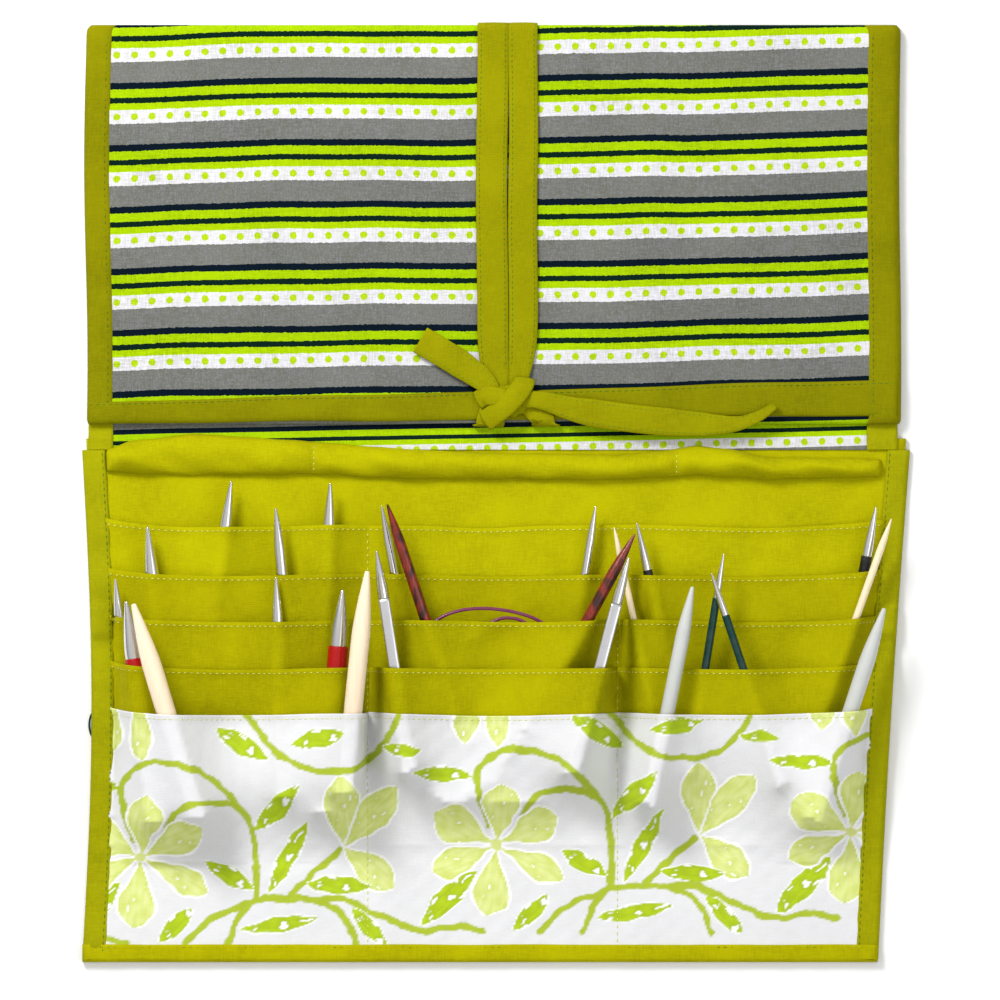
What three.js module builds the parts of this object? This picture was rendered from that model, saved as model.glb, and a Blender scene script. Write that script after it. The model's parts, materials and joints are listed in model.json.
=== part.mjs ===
// A set of knitting needle tips in its folding cloth case, lying open on a table.
// Millimetres, +Z up, +X to the right, +Y from the bottom hem towards the cover.
// Everything is worked out with y = 0 at the bottom hem, and the whole is then moved so that the origin
// lies under the middle of the open case. The cover folds over about a line above the gusset.
import * as THREE from "three";

// ---------- driving dimensions ----------
const CASE_HALF_WIDTH = 169.2; // half the width of the open case at its top corners
const LEFT_BOW = 3.8; // how far the left edge is drawn in at half height
const RIGHT_TAPER = 13.1; // how much further in the bottom right corner lies than the top right one
const RIGHT_BOW = 0.9;
const SIDE_HEIGHT = 209.3; // top corners of the pocket leaf
const LEAF_TOP = 214; // the leaf runs on a little under the tip flap
const SIDE_BINDING = 9.5;
const BOTTOM_BINDING = 7.3;
const CLOTH = 2.4; // lined and padded leaf
const GAP = 0.3; // air between pieces that touch
const FOLD_Y = 38; // the bottom strip folds up here
const SHEET = 0.5; // thickness of one pocket cloth
const NEEDLE_LENGTH = 90;
const CLEARANCE = 0.35; // between a needle and the cloth or another needle

const COVER_FRONT = 219.9; // the cover's edge next to the gusset
const COVER_END = 382.9; // the cover's free edge
const COVER_LEFT = -168.5;
const COVER_RIGHT = 166;
const COVER_BOTTOM = 1.4;
const COVER_TOP = 6.3;
const RIBBON_WIDTH = 12;
const RIBBON = 0.8;
const FLAP_LEFT = -159;
const FLAP_RIGHT = 157;
const FLAP_LOW = 196.7;
const FLAP_HIGH = 216.2;
const FLAP_TOP = 5;
const TAIL_TOP = COVER_TOP + GAP + RIBBON;

// The five tiers of pockets, back to front: upper edge, lower end and how far the needles in it tip up.
const TIERS = [
  { edge: 178.7, end: 88, tilt: 3 },
  { edge: 158.7, end: 74, tilt: 2.5 },
  { edge: 139.9, end: 60, tilt: 1.8 },
  { edge: 120.8, end: 48, tilt: 1 },
  { edge: 102.2, end: FOLD_Y + GAP, tilt: 0.6 },
];
const ROWS = [FOLD_Y + GAP, 48, 60, 74, 88, 102.2, 120.8, 139.9, 158.7, 178.7];
const SHEET_LEFT = -154.8;
const SHEET_RIGHT = 154.2;
const COLUMNS = 44;

// Each needle: tier (1 is the back one), tip and the place where it enters its pocket, diameter, finish.
const NEEDLES = [
  {
    name: "steel_tip_1", tier: 1, tip: [-108, 196.6], mouth: [-110.3, 178.3],
    wide: 5.3, look: "steel",
  },
  {
    name: "steel_tip_2", tier: 1, tip: [-67.6, 195.9], mouth: [-68.2, 178],
    wide: 5.5, look: "steel",
  },
  {
    name: "steel_tip_3", tier: 2, tip: [-142.1, 178], mouth: [-140.2, 157.6],
    wide: 6.2, look: "steel",
  },
  {
    name: "steel_tip_4", tier: 2, tip: [-89.8, 185.6], mouth: [-87.2, 158.3],
    wide: 4.8, look: "steel",
  },
  {
    name: "steel_tip_5", tier: 2, tip: [-46.7, 186.6], mouth: [-41.6, 159.1],
    wide: 3.75, look: "steel",
  },
  {
    name: "steel_tip_6", tier: 2, tip: [40.6, 186.4], mouth: [36.4, 159.1],
    wide: 3.9, look: "steel",
  },
  {
    name: "black_tip_1", tier: 2, tip: [57.4, 179.6], mouth: [62, 158.9],
    wide: 3.9, look: "black", point: 19.7,
  },
  {
    name: "black_tip_2", tier: 2, tip: [154.9, 186.1], mouth: [149.8, 158.3],
    wide: 4.5, look: "black", point: 20.4,
  },
  {
    name: "steel_tip_7", tier: 3, tip: [-155.1, 156.8], mouth: [-153.6, 140.8],
    wide: 4, look: "steel",
  },
  {
    name: "steel_tip_8", tier: 3, tip: [-89.5, 157.6], mouth: [-88.9, 138.3],
    wide: 4.6, look: "steel",
  },
  {
    name: "ivory_tip_1", tier: 3, tip: [48, 177.8], mouth: [55.9, 141.1],
    wide: 2.6, look: "ivory",
  },
  {
    name: "ivory_tip_2", tier: 3, tip: [161, 181.2], mouth: [146.6, 140.6],
    wide: 3, look: "ivory",
  },
  {
    name: "wood_tip_left", tier: 3, tip: [-44.3, 187.2], mouth: [-28.6, 139.8],
    wide: 4.5, look: "wood", pair: true,
  },
  {
    name: "wood_tip_right", tier: 3, tip: [56.4, 175], mouth: [36.8, 139.4],
    wide: 4.75, look: "wood", pair: true,
  },
  {
    name: "red_tip_1", tier: 4, tip: [-150.4, 147.7], mouth: [-146.9, 121.6],
    wide: 7.4, look: "red", point: 23.4,
  },
  {
    name: "red_tip_2", tier: 4, tip: [-62.4, 152.4], mouth: [-64.9, 120.4],
    wide: 8.2, look: "red", point: 23,
  },
  {
    name: "square_tip_1", tier: 4, tip: [-48.6, 168.3], mouth: [-41.2, 120.2],
    wide: 5.1, look: "square", point: 19.5,
  },
  {
    name: "square_tip_2", tier: 4, tip: [53.9, 165.7], mouth: [42.1, 120.8],
    wide: 5.1, look: "square", point: 19.3,
  },
  {
    name: "green_tip_1", tier: 4, tip: [92.7, 167.2], mouth: [85.4, 121.7],
    wide: 3.25, look: "green", point: 18.4,
  },
  {
    name: "green_tip_2", tier: 4, tip: [87.6, 159.1], mouth: [100.2, 121.5],
    wide: 3.25, look: "green", point: 18,
  },
  {
    name: "birch_tip_1", tier: 5, tip: [-147.2, 146.8], mouth: [-133.5, 101.4],
    wide: 8, look: "birch",
  },
  {
    name: "birch_tip_2", tier: 5, tip: [-52.2, 160.1], mouth: [-58.2, 101.4],
    wide: 7.6, look: "birch",
  },
  {
    name: "grey_tip_1", tier: 5, tip: [79.8, 153.7], mouth: [69.5, 101.9],
    wide: 5.8, look: "grey",
  },
  {
    name: "grey_tip_2", tier: 5, tip: [157.9, 144.9], mouth: [144.2, 103.1],
    wide: 6.5, look: "grey",
  },
];
const PAIR_TRAVEL = 50; // the circular needle is lifted straight up out of its pocket by this much

// The cable between the two wood tips: a loose double coil in their pocket. Each point is x, y and the
// level of its turn, 0 for the lowest.
const CABLE = 1.4;
const CABLE_LEVEL = 1.9;
const CABLE_STEPS = 78;
const CABLE_POINTS = [
  [-7, 84, 0.6], [8, 77, 0], [20, 87, 0], [25, 106, 0], [21, 128, 0],
  [13, 138, 0], [5.8, 140.8, 0], [-2, 139, 0], [-14, 130, 0], [-21, 112, 0],
  [-21, 92, 0], [-12, 74, 0], [6, 66, 0], [24, 73, 0], [34, 95, 0],
  [31, 122, 0], [18.6, 139, 0], [-4.7, 144.7, 0], [-24.3, 139.8, 0], [-36, 122, 0],
  [-37, 96, 0], [-31, 77, 0.5], [-19, 67, 1], [-7, 71, 1.2], [2, 79, 1.5],
];

// ---------- materials ----------
const finish = (color, roughness, metalness = 0) =>
  new THREE.MeshStandardMaterial({ color, roughness, metalness });
const looks = {
  leaf: finish(0xbeb800, 0.9),
  binding: finish(0xa5a005, 0.85),
  floral: finish(0xe6e8d0, 0.9),
  stripes: finish(0x8f9a60, 0.9),
  ribbon: finish(0xa8a408, 0.7),
  steel: finish(0xc8c8cc, 0.2, 1),
  black: finish(0x141414, 0.4),
  red: finish(0x8a1420, 0.35),
  green: finish(0x14402a, 0.35),
  square: finish(0xb8b8bc, 0.3, 1),
  wood: finish(0x4a1018, 0.45),
  ivory: finish(0xe8dcc0, 0.5),
  birch: finish(0xe6d8b4, 0.5),
  grey: finish(0xb8bab8, 0.4),
  cable: finish(0x82325a, 0.35),
};

const caseGroup = new THREE.Group();

function addMesh(name, geometry, material, z = 0) {
  const mesh = new THREE.Mesh(geometry, material);
  mesh.name = name;
  mesh.position.z = z;
  caseGroup.add(mesh);
  return mesh;
}

// ---------- the case's outline ----------
const leftEdge = (y) => -CASE_HALF_WIDTH + LEFT_BOW * Math.sin((Math.PI * y) / SIDE_HEIGHT);
const rightEdge = (y) =>
  CASE_HALF_WIDTH -
  RIGHT_TAPER * (1 - y / SIDE_HEIGHT) -
  RIGHT_BOW * Math.sin((Math.PI * y) / SIDE_HEIGHT);

// Points up one side between two heights, set in from the edge by inset.
function sidePoints(edge, inset, from, to) {
  const steps = Math.max(2, Math.round(Math.abs(to - from) / 35));
  const points = [];
  for (let i = 0; i <= steps; i++) {
    const y = from + ((to - from) * i) / steps;
    points.push(new THREE.Vector2(edge(y) + inset, y));
  }
  return points;
}

function slab(name, points, bottom, top, material) {
  const shape = new THREE.Shape(points);
  const geometry = new THREE.ExtrudeGeometry(shape, { depth: top - bottom, bevelEnabled: false });
  return addMesh(name, geometry, material, bottom);
}

const rectangle = (left, low, right, high) => [
  new THREE.Vector2(left, low),
  new THREE.Vector2(right, low),
  new THREE.Vector2(right, high),
  new THREE.Vector2(left, high),
];

// ---------- pocket leaf and bottom strip ----------
function panel(name, low, high, extra = []) {
  const inset = SIDE_BINDING + GAP;
  const points = [
    ...sidePoints(rightEdge, -inset, low, high),
    ...extra,
    ...sidePoints(leftEdge, inset, high, low),
  ];
  slab(name, points, 0, CLOTH, looks.leaf);
}

function sideBinding(name, edge, inward, low, high) {
  const outer = sidePoints(edge, 0, low, high);
  const inner = sidePoints(edge, inward, high, low);
  const points = inward > 0 ? [...inner, ...outer] : [...outer, ...inner];
  slab(name, points, 0, CLOTH, looks.binding);
}

panel("leaf_cloth", FOLD_Y + GAP, SIDE_HEIGHT, [
  new THREE.Vector2(FLAP_RIGHT, LEAF_TOP),
  new THREE.Vector2(FLAP_LEFT, LEAF_TOP),
]);
panel("strip_cloth", BOTTOM_BINDING + GAP, FOLD_Y - GAP);
sideBinding("leaf_binding_left", leftEdge, SIDE_BINDING, FOLD_Y + GAP, SIDE_HEIGHT);
sideBinding("leaf_binding_right", rightEdge, -SIDE_BINDING, FOLD_Y + GAP, SIDE_HEIGHT);
sideBinding("strip_binding_left", leftEdge, SIDE_BINDING, BOTTOM_BINDING + GAP, FOLD_Y - GAP);
sideBinding("strip_binding_right", rightEdge, -SIDE_BINDING, BOTTOM_BINDING + GAP, FOLD_Y - GAP);
slab("bottom_binding", rectangle(leftEdge(0), 0, rightEdge(0), BOTTOM_BINDING), 0, CLOTH, looks.binding);
slab(
  "floral_strip",
  rectangle(
    leftEdge(FOLD_Y) + SIDE_BINDING,
    BOTTOM_BINDING + GAP,
    rightEdge(0) - SIDE_BINDING,
    FOLD_Y - GAP,
  ),
  CLOTH + GAP,
  CLOTH + GAP + SHEET,
  looks.floral,
);

// ---------- tip flap, gusset and cover ----------
const flapOutline = rectangle(FLAP_LEFT, FLAP_LOW, FLAP_RIGHT, FLAP_HIGH);
slab("tip_flap", flapOutline, CLOTH + GAP, FLAP_TOP, looks.leaf);
slab(
  "spine_gusset",
  rectangle(FLAP_LEFT, LEAF_TOP + GAP, FLAP_RIGHT, COVER_FRONT - RIBBON - 2 * GAP),
  GAP,
  CLOTH,
  looks.stripes,
);
slab(
  "cover_cloth",
  rectangle(COVER_LEFT + SIDE_BINDING + GAP, COVER_FRONT, COVER_RIGHT - SIDE_BINDING - GAP, COVER_END),
  COVER_BOTTOM,
  COVER_TOP,
  looks.stripes,
);
slab(
  "cover_binding_left",
  rectangle(COVER_LEFT, COVER_FRONT, COVER_LEFT + SIDE_BINDING, COVER_END),
  COVER_BOTTOM,
  COVER_TOP,
  looks.binding,
);
slab(
  "cover_binding_right",
  rectangle(COVER_RIGHT - SIDE_BINDING, COVER_FRONT, COVER_RIGHT, COVER_END),
  COVER_BOTTOM,
  COVER_TOP,
  looks.binding,
);

// ---------- tie ribbons round the cover ----------
// A closed band round the cover, seen along X as a thin frame.
function ribbonBand(name, left) {
  const low = COVER_FRONT - GAP - RIBBON;
  const high = COVER_END + GAP + RIBBON;
  const under = COVER_BOTTOM - GAP - RIBBON;
  const outline = new THREE.Shape(rectangle(low, under, high, TAIL_TOP));
  outline.holes.push(
    new THREE.Path(rectangle(low + RIBBON, under + RIBBON, high - RIBBON, TAIL_TOP - RIBBON).reverse()),
  );
  const geometry = new THREE.ExtrudeGeometry(outline, { depth: RIBBON_WIDTH, bevelEnabled: false });
  const mesh = addMesh(name, geometry, looks.ribbon);
  // The shape's own x and y become the case's y and z.
  const turned = new THREE.Matrix4().makeBasis(
    new THREE.Vector3(0, 1, 0),
    new THREE.Vector3(0, 0, 1),
    new THREE.Vector3(1, 0, 0),
  );
  mesh.quaternion.setFromRotationMatrix(turned);
  mesh.position.set(left, 0, 0);
}

// A flat ribbon end lying on the cover along a smooth curve.
function ribbonEnd(name, route) {
  const curve = new THREE.SplineCurve(route.map(([x, y]) => new THREE.Vector2(x, y)));
  const left = [];
  const right = [];
  const steps = 10;
  for (let i = 0; i <= steps; i++) {
    const at = curve.getPoint(i / steps);
    const along = curve.getTangent(i / steps);
    const across = new THREE.Vector2(-along.y, along.x).multiplyScalar((RIBBON_WIDTH - 1) / 2);
    left.push(at.clone().add(across));
    right.unshift(at.clone().sub(across));
  }
  const bottom = TAIL_TOP + GAP;
  slab(name, [...left, ...right], bottom, bottom + RIBBON, looks.ribbon);
}

ribbonBand("ribbon_band_left", -7.6);
ribbonBand("ribbon_band_right", 5);
const knot = new THREE.SphereGeometry(1, 12, 8);
knot.scale(8.5, 7.5, 2);
addMesh("ribbon_knot", knot, looks.ribbon, TAIL_TOP + GAP + 2).position.setX(5.7).setY(232);
ribbonEnd("ribbon_short_end", [[-4.5, 237], [-14, 244], [-22, 249], [-31, 254.5]]);
ribbonEnd("ribbon_long_end", [[16, 232], [34, 228], [58, 225.5], [84, 225], [100, 227], [114, 231]]);

// ---------- needles and the heights of the pocket cloths ----------
const ROW_COUNT = ROWS.length;
const columnX = (i) => SHEET_LEFT + ((SHEET_RIGHT - SHEET_LEFT) * i) / COLUMNS;
// The top of everything laid so far, at each grid point.
const top = ROWS.map(() => new Array(COLUMNS + 1).fill(CLOTH));

// The cloth's height under a point, on the same two triangles to a cell as the pocket cloths have.
function groundAt(x, y) {
  if (y > FLAP_HIGH) return TAIL_TOP + RIBBON;
  if (y > FLAP_LOW) return FLAP_TOP;
  const u = ((x - SHEET_LEFT) / (SHEET_RIGHT - SHEET_LEFT)) * COLUMNS;
  if (u < 0 || u >= COLUMNS || y < ROWS[0] || y >= ROWS[ROW_COUNT - 1]) return CLOTH;
  const i = Math.floor(u);
  const j = ROWS.findLastIndex((row) => row <= y);
  const fu = u - i;
  const fv = (y - ROWS[j]) / (ROWS[j + 1] - ROWS[j]);
  const a = top[j][i];
  const b = top[j][i + 1];
  const c = top[j + 1][i + 1];
  const d = top[j + 1][i];
  return fu >= fv ? a + (b - a) * fu + (c - b) * fv : a + (c - d) * fu + (d - a) * fv;
}

const SAMPLE = 2; // step along a needle, for placing it
const placed = []; // sample spheres of every needle laid so far, with the room it needs to be drawn out

// Works out where a needle lies: on the cloth beneath, and over every needle that it crosses.
function layNeedle(needle) {
  const tier = TIERS[needle.tier - 1];
  const tip = new THREE.Vector2(...needle.tip);
  const along = tip.clone().sub(new THREE.Vector2(...needle.mouth)).normalize();
  const tilt = THREE.MathUtils.degToRad(tier.tilt);
  const radius = needle.wide / 2;
  const end = tip.clone().addScaledVector(along, -NEEDLE_LENGTH * Math.cos(tilt));
  const travel = needle.pair ? PAIR_TRAVEL : Math.ceil((tier.edge + 2 - end.y) / along.y);
  const drawn = needle.pair ? new THREE.Vector2(0, 1) : along;
  const spots = [];
  for (let out = 0; out <= travel + SAMPLE; out += SAMPLE) {
    for (let s = 0; s <= NEEDLE_LENGTH; s += SAMPLE) {
      if (!needle.pair && out > 0 && s < NEEDLE_LENGTH - SAMPLE) continue; // it slides along itself
      const at = end
        .clone()
        .addScaledVector(along, s * Math.cos(tilt))
        .addScaledVector(drawn, out * Math.cos(tilt));
      spots.push({ at, rise: (s + out) * Math.sin(tilt) });
    }
  }
  const across = new THREE.Vector2(-along.y, along.x);
  let lift = 0;
  for (const { at, rise } of spots) {
    for (let w = -1; w <= 1; w += 0.25) {
      const ground = groundAt(at.x + across.x * radius * w, at.y + across.y * radius * w);
      lift = Math.max(lift, ground + CLEARANCE + radius * Math.sqrt(1 - w * w) - rise);
    }
    for (const other of placed) {
      const reach = radius + other.radius + CLEARANCE;
      const apart = at.distanceTo(other.at);
      if (apart >= reach) continue;
      lift = Math.max(lift, other.z + Math.sqrt(reach * reach - apart * apart) - rise);
    }
  }
  const axis = new THREE.Vector3(along.x * Math.cos(tilt), along.y * Math.cos(tilt), Math.sin(tilt));
  return { ...needle, end, lift, axis, radius, travel, spots };
}

// Raises the corners of every cell that a needle passes over, so that the next cloth clears it.
function raise(spots, lift, radius, rows) {
  for (const { at, rise } of spots) {
    for (let j = 0; j < ROW_COUNT - 1; j++) {
      if (at.y + radius < ROWS[j] || at.y - radius > ROWS[j + 1]) continue;
      for (let i = 0; i < COLUMNS; i++) {
        const reach = radius + CLEARANCE;
        if (at.x + reach < columnX(i) || at.x - reach > columnX(i + 1)) continue;
        const height = lift + rise + radius;
        for (const [row, column] of [[j, i], [j, i + 1], [j + 1, i], [j + 1, i + 1]])
          rows[row][column] = Math.max(rows[row][column], height);
      }
    }
  }
}

// One pocket cloth: a thin closed sheet that follows the heights beneath it.
function pocketCloth(name, tier, under, material) {
  const first = ROWS.indexOf(tier.end);
  const last = ROWS.indexOf(tier.edge);
  const positions = [];
  const faces = [];
  const wide = COLUMNS + 1;
  const count = (last - first + 1) * wide;
  for (const thick of [0, SHEET])
    for (let j = first; j <= last; j++)
      for (let i = 0; i < wide; i++) positions.push(columnX(i), ROWS[j], under[j][i] + thick);
  const quad = (a, b, c, d) => faces.push(a, b, c, a, c, d);
  for (let j = 0; j < last - first; j++)
    for (let i = 0; i < COLUMNS; i++) {
      const a = j * wide + i;
      quad(count + a, count + a + 1, count + a + wide + 1, count + a + wide);
      faces.push(a, a + wide + 1, a + 1, a, a + wide, a + wide + 1);
    }
  const rim = [];
  for (let i = 0; i < COLUMNS; i++) rim.push(i);
  for (let j = 0; j < last - first; j++) rim.push(j * wide + COLUMNS);
  for (let i = COLUMNS; i > 0; i--) rim.push((last - first) * wide + i);
  for (let j = last - first; j > 0; j--) rim.push(j * wide);
  rim.forEach((a, n) => {
    const b = rim[(n + 1) % rim.length];
    quad(a, b, b + count, a + count);
  });
  const geometry = new THREE.BufferGeometry();
  geometry.setAttribute("position", new THREE.Float32BufferAttribute(positions, 3));
  geometry.setIndex(faces);
  geometry.computeVertexNormals();
  addMesh(name, geometry, material);
  for (let j = first; j <= last; j++) for (let i = 0; i < wide; i++) top[j][i] = under[j][i] + SHEET;
}

// ---------- needle shapes, each along its own Z from its back end ----------
const LONGEST_POINT = 16;
const POINT_PER_WIDTH = 2.6;
const BELLY_RADIUS = 0.6; // a point's radius partway down, as a share of the shaft's
const BELLY_AT = 0.55;
const BLUNT_RADIUS = 0.26;
const BLUNT_LENGTH = 0.8;
const STEEL_SHARE = 0.92; // a steel point is a little slimmer than its coloured shaft
const SQUARE_SHARE = 0.9; // a square shaft's side, as a share of its width over the corners
const point = (radius, height) => new THREE.Vector2(radius, height);

function taperedNeedle(radius, from, to, pointLength) {
  const shoulder = to - pointLength;
  const profile = [point(0, from), point(radius, from), point(radius, shoulder)];
  profile.push(point(radius * BELLY_RADIUS, shoulder + pointLength * BELLY_AT));
  profile.push(point(radius * BLUNT_RADIUS, to - BLUNT_LENGTH), point(0, to));
  return new THREE.LatheGeometry(profile, 8).rotateX(Math.PI / 2);
}

function plainShaft(radius, from, to) {
  const profile = [point(0, from), point(radius, from), point(radius, to), point(0, to)];
  return new THREE.LatheGeometry(profile, 8).rotateX(Math.PI / 2);
}

function squareShaft(side, from, to) {
  return new THREE.BoxGeometry(side, side, to - from).translate(0, 0, (from + to) / 2);
}

function placeMesh(name, geometry, material, laid) {
  const mesh = addMesh(name, geometry, material);
  mesh.position.set(laid.end.x, laid.end.y, laid.lift);
  mesh.quaternion.setFromUnitVectors(new THREE.Vector3(0, 0, 1), laid.axis);
  // A square needle lies on one of its flats.
  if (laid.look === "square") {
    const flat = new THREE.Matrix4().makeBasis(
      new THREE.Vector3(0, 0, 1).cross(laid.axis).normalize(),
      laid.axis.clone().cross(new THREE.Vector3(0, 0, 1).cross(laid.axis).normalize()),
      laid.axis,
    );
    mesh.quaternion.setFromRotationMatrix(flat);
  }
}

function buildNeedle(laid) {
  const pointLength = Math.min(LONGEST_POINT, laid.wide * POINT_PER_WIDTH);
  if (!laid.point) {
    const whole = taperedNeedle(laid.radius, 0, NEEDLE_LENGTH, pointLength);
    placeMesh(laid.name, whole, looks[laid.look], laid);
    return;
  }
  // A coloured or square shaft with a steel point of its own.
  const joint = NEEDLE_LENGTH - laid.point;
  const shaft =
    laid.look === "square"
      ? squareShaft(laid.wide * SQUARE_SHARE, 0, joint - GAP / 2)
      : plainShaft(laid.radius, 0, joint - GAP / 2);
  placeMesh(laid.name + "_shaft", shaft, looks[laid.look], laid);
  const taper = Math.min(pointLength, laid.point - 1);
  const tip = taperedNeedle(laid.radius * STEEL_SHARE, joint + GAP / 2, NEEDLE_LENGTH, taper);
  placeMesh(laid.name + "_point", tip, looks.steel, laid);
}

// ---------- the cable coil, laid in the middle pocket of the third tier ----------
function coilLevel() {
  let level = 0;
  for (const [x, y] of CABLE_POINTS)
    for (let out = 0; out <= PAIR_TRAVEL; out += SAMPLE)
      for (const step of [-6, 0, 6]) {
        const rise = out * Math.sin(THREE.MathUtils.degToRad(TIERS[2].tilt));
        level = Math.max(level, groundAt(x + step, y + out) + CLEARANCE + CABLE / 2 - rise);
      }
  return level;
}

// The coil turned into sample spheres, like a needle, so that the wood tips lie over it.
function coilSpots(level) {
  const curve = new THREE.CatmullRomCurve3(
    CABLE_POINTS.map(([x, y, turn]) => new THREE.Vector3(x, y, level + turn * CABLE_LEVEL)),
  );
  return curve.getSpacedPoints(240).map((p) => ({ at: new THREE.Vector2(p.x, p.y), rise: p.z - level }));
}

function buildCable(level, left, right) {
  const back = (laid, far) => laid.end3.clone().addScaledVector(laid.axis, -far);
  const route = [
    back(left, GAP),
    back(left, 4),
    ...CABLE_POINTS.map(([x, y, turn]) => new THREE.Vector3(x, y, level + turn * CABLE_LEVEL)),
    back(right, 4),
    back(right, GAP),
  ];
  const section = new THREE.Shape();
  for (let i = 0; i < 8; i++) {
    const angle = (i * Math.PI) / 4;
    const corner = [(Math.cos(angle) * CABLE) / 2, (Math.sin(angle) * CABLE) / 2];
    if (i === 0) section.moveTo(...corner);
    else section.lineTo(...corner);
  }
  section.closePath();
  const geometry = new THREE.ExtrudeGeometry(section, {
    steps: CABLE_STEPS,
    extrudePath: new THREE.CatmullRomCurve3(route),
    bevelEnabled: false,
  });
  addMesh("cable", geometry, looks.cable);
}

// ---------- laying the tiers, back to front ----------
const names = ["pocket_cloth_1", "pocket_cloth_2", "pocket_cloth_3", "pocket_cloth_4", "floral_cloth"];
TIERS.forEach((tier, index) => {
  const under = top.map((row) => row.slice());
  const laidHere = [];
  let level = 0;
  let coil = [];
  if (index === 2) {
    level = coilLevel();
    coil = coilSpots(level);
    for (const spot of coil) placed.push({ at: spot.at, z: level + spot.rise, radius: CABLE / 2 });
  }
  for (const needle of NEEDLES.filter((n) => n.tier === index + 1)) {
    const laid = layNeedle(needle);
    laid.end3 = new THREE.Vector3(laid.end.x, laid.end.y, laid.lift);
    laidHere.push(laid);
    for (const { at, rise } of laid.spots) placed.push({ at, z: laid.lift + rise, radius: laid.radius });
    buildNeedle(laid);
  }
  for (const laid of laidHere) raise(laid.spots, laid.lift, laid.radius, under);
  if (index === 2) {
    for (let out = 0; out <= PAIR_TRAVEL; out += 2 * SAMPLE) {
      const rise = out * Math.sin(THREE.MathUtils.degToRad(tier.tilt));
      const moved = coil.map((s) => ({
        at: new THREE.Vector2(s.at.x, s.at.y + out),
        rise: s.rise + rise,
      }));
      raise(moved, level, CABLE / 2, under);
    }
    buildCable(level, ...laidHere.filter((laid) => laid.pair));
  }
  for (const row of under) row.forEach((height, i) => (row[i] = height + CLEARANCE));
  pocketCloth(names[index], tier, under, index === TIERS.length - 1 ? looks.floral : looks.leaf);
});

// ---------- the origin, under the middle of the open case ----------
const object = new THREE.Group();
object.add(caseGroup);
const bounds = new THREE.Box3().setFromObject(caseGroup);
const middle = bounds.getCenter(new THREE.Vector3());
caseGroup.position.set(-middle.x, -middle.y, -bounds.min.z);

export default object;
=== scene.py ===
"""A set of knitting needle tips in its folding cloth case, lying open. Sizes are in millimetres of the case,
with y = 0 at the bottom hem, and at() turns them into the frame's metres."""

import json
import math

import bpy
import numpy as np
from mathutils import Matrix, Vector


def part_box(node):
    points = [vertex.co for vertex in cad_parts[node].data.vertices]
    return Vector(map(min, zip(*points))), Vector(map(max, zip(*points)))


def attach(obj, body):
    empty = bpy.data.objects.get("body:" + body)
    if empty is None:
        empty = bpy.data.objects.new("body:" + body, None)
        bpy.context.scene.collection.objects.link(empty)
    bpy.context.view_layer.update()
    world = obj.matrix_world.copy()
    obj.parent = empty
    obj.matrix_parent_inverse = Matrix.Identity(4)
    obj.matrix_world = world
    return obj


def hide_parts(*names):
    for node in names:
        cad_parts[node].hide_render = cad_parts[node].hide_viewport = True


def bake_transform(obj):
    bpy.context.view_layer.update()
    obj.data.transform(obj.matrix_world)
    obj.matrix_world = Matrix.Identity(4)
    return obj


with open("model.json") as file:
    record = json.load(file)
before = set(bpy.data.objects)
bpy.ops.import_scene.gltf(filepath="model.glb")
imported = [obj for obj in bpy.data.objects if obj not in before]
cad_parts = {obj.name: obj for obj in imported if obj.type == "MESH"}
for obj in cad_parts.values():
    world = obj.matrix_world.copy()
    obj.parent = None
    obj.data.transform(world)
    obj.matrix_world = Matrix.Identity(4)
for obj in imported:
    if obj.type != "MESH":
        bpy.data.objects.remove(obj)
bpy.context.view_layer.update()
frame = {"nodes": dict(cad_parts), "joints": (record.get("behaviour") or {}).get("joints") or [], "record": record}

MM = 0.001
HEM_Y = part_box("bottom_binding")[0].y  # the frame's y at the bottom hem

# The case, as in the CAD
HALF_WIDTH = 169.2
LEFT_BOW = 3.8
RIGHT_TAPER = 13.1
RIGHT_BOW = 0.9
SIDE_TOP = 209.3
LEAF_TOP = 214.0
BINDING = 9.5
HEM = 7.3
CLOTH = 2.4
FOLD_Y = 38.0
SEAMS = (-52.4, 49.6)
TIER_EDGES = (178.7, 158.7, 139.9, 120.8, 102.2)
TIER_ENDS = (88.0, 74.0, 60.0, 48.0, HEM - 1)
ROW_ANCHORS = (HEM - 1, FOLD_Y - 3, FOLD_Y + 3, 48, 60, 74, 88, 102.2, 120.8, 139.9, 158.7, 178.7)
COVER_FRONT, COVER_END = 219.9, 382.9
COVER_LEFT, COVER_RIGHT = -168.5, 166.0
COVER_UNDER, COVER_TOP = 1.4, 6.3
SHEET = 0.5
TUCK = 1.5  # how far a pocket cloth runs in under the bindings
CLOTH_GAP, NEEDLE_GAP = 0.12, 0.14  # the air under a cloth, over another cloth and over a needle
NEEDLE_EASE = 0.85  # how far past a needle's side the cloth is still held up by it
SEAM_REACH = 0.85  # half the width of the cloth that a seam holds down

# The printed stripes
STRIPE_REPEAT = 25.2
BANDS = (  # where each stripe starts in the repeat, and its colour
    (0.0, (109, 110, 101)), (0.335, (5, 20, 30)), (0.44, (157, 192, 2)),
    (0.575, (6, 32, 22)), (0.665, (161, 195, 2)), (0.775, (212, 211, 206)),
)
DOTS_AT = 0.885  # the dots' place in the repeat, from the top of the grey stripe down
DOT_PITCH, DOT_RADIUS, DOT_COLOUR = 7.2, 1.45, (170, 200, 22)
STRIPE_SLOPE = 0.02
DOTS_Y = 323.1  # a row of dots on the cover
FOLD_DOTS_Y, FOLD_REPEAT, FOLD_UNEVEN = 210.2, 19.0, 0.25  # on the gusset and the cover's front edge

# The camera looks straight down; metres, but for the centre
CAMERA_HEIGHT, VIEW_WIDTH, VIEW_PLANE = 4.0, 0.408, 0.008
VIEW_CENTRE = (1.6, 188.9)

looks = {}


def at(x, y, z):
    """A point of the case in the frame's metres."""
    return (x * MM, HEM_Y + y * MM, z * MM)


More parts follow.
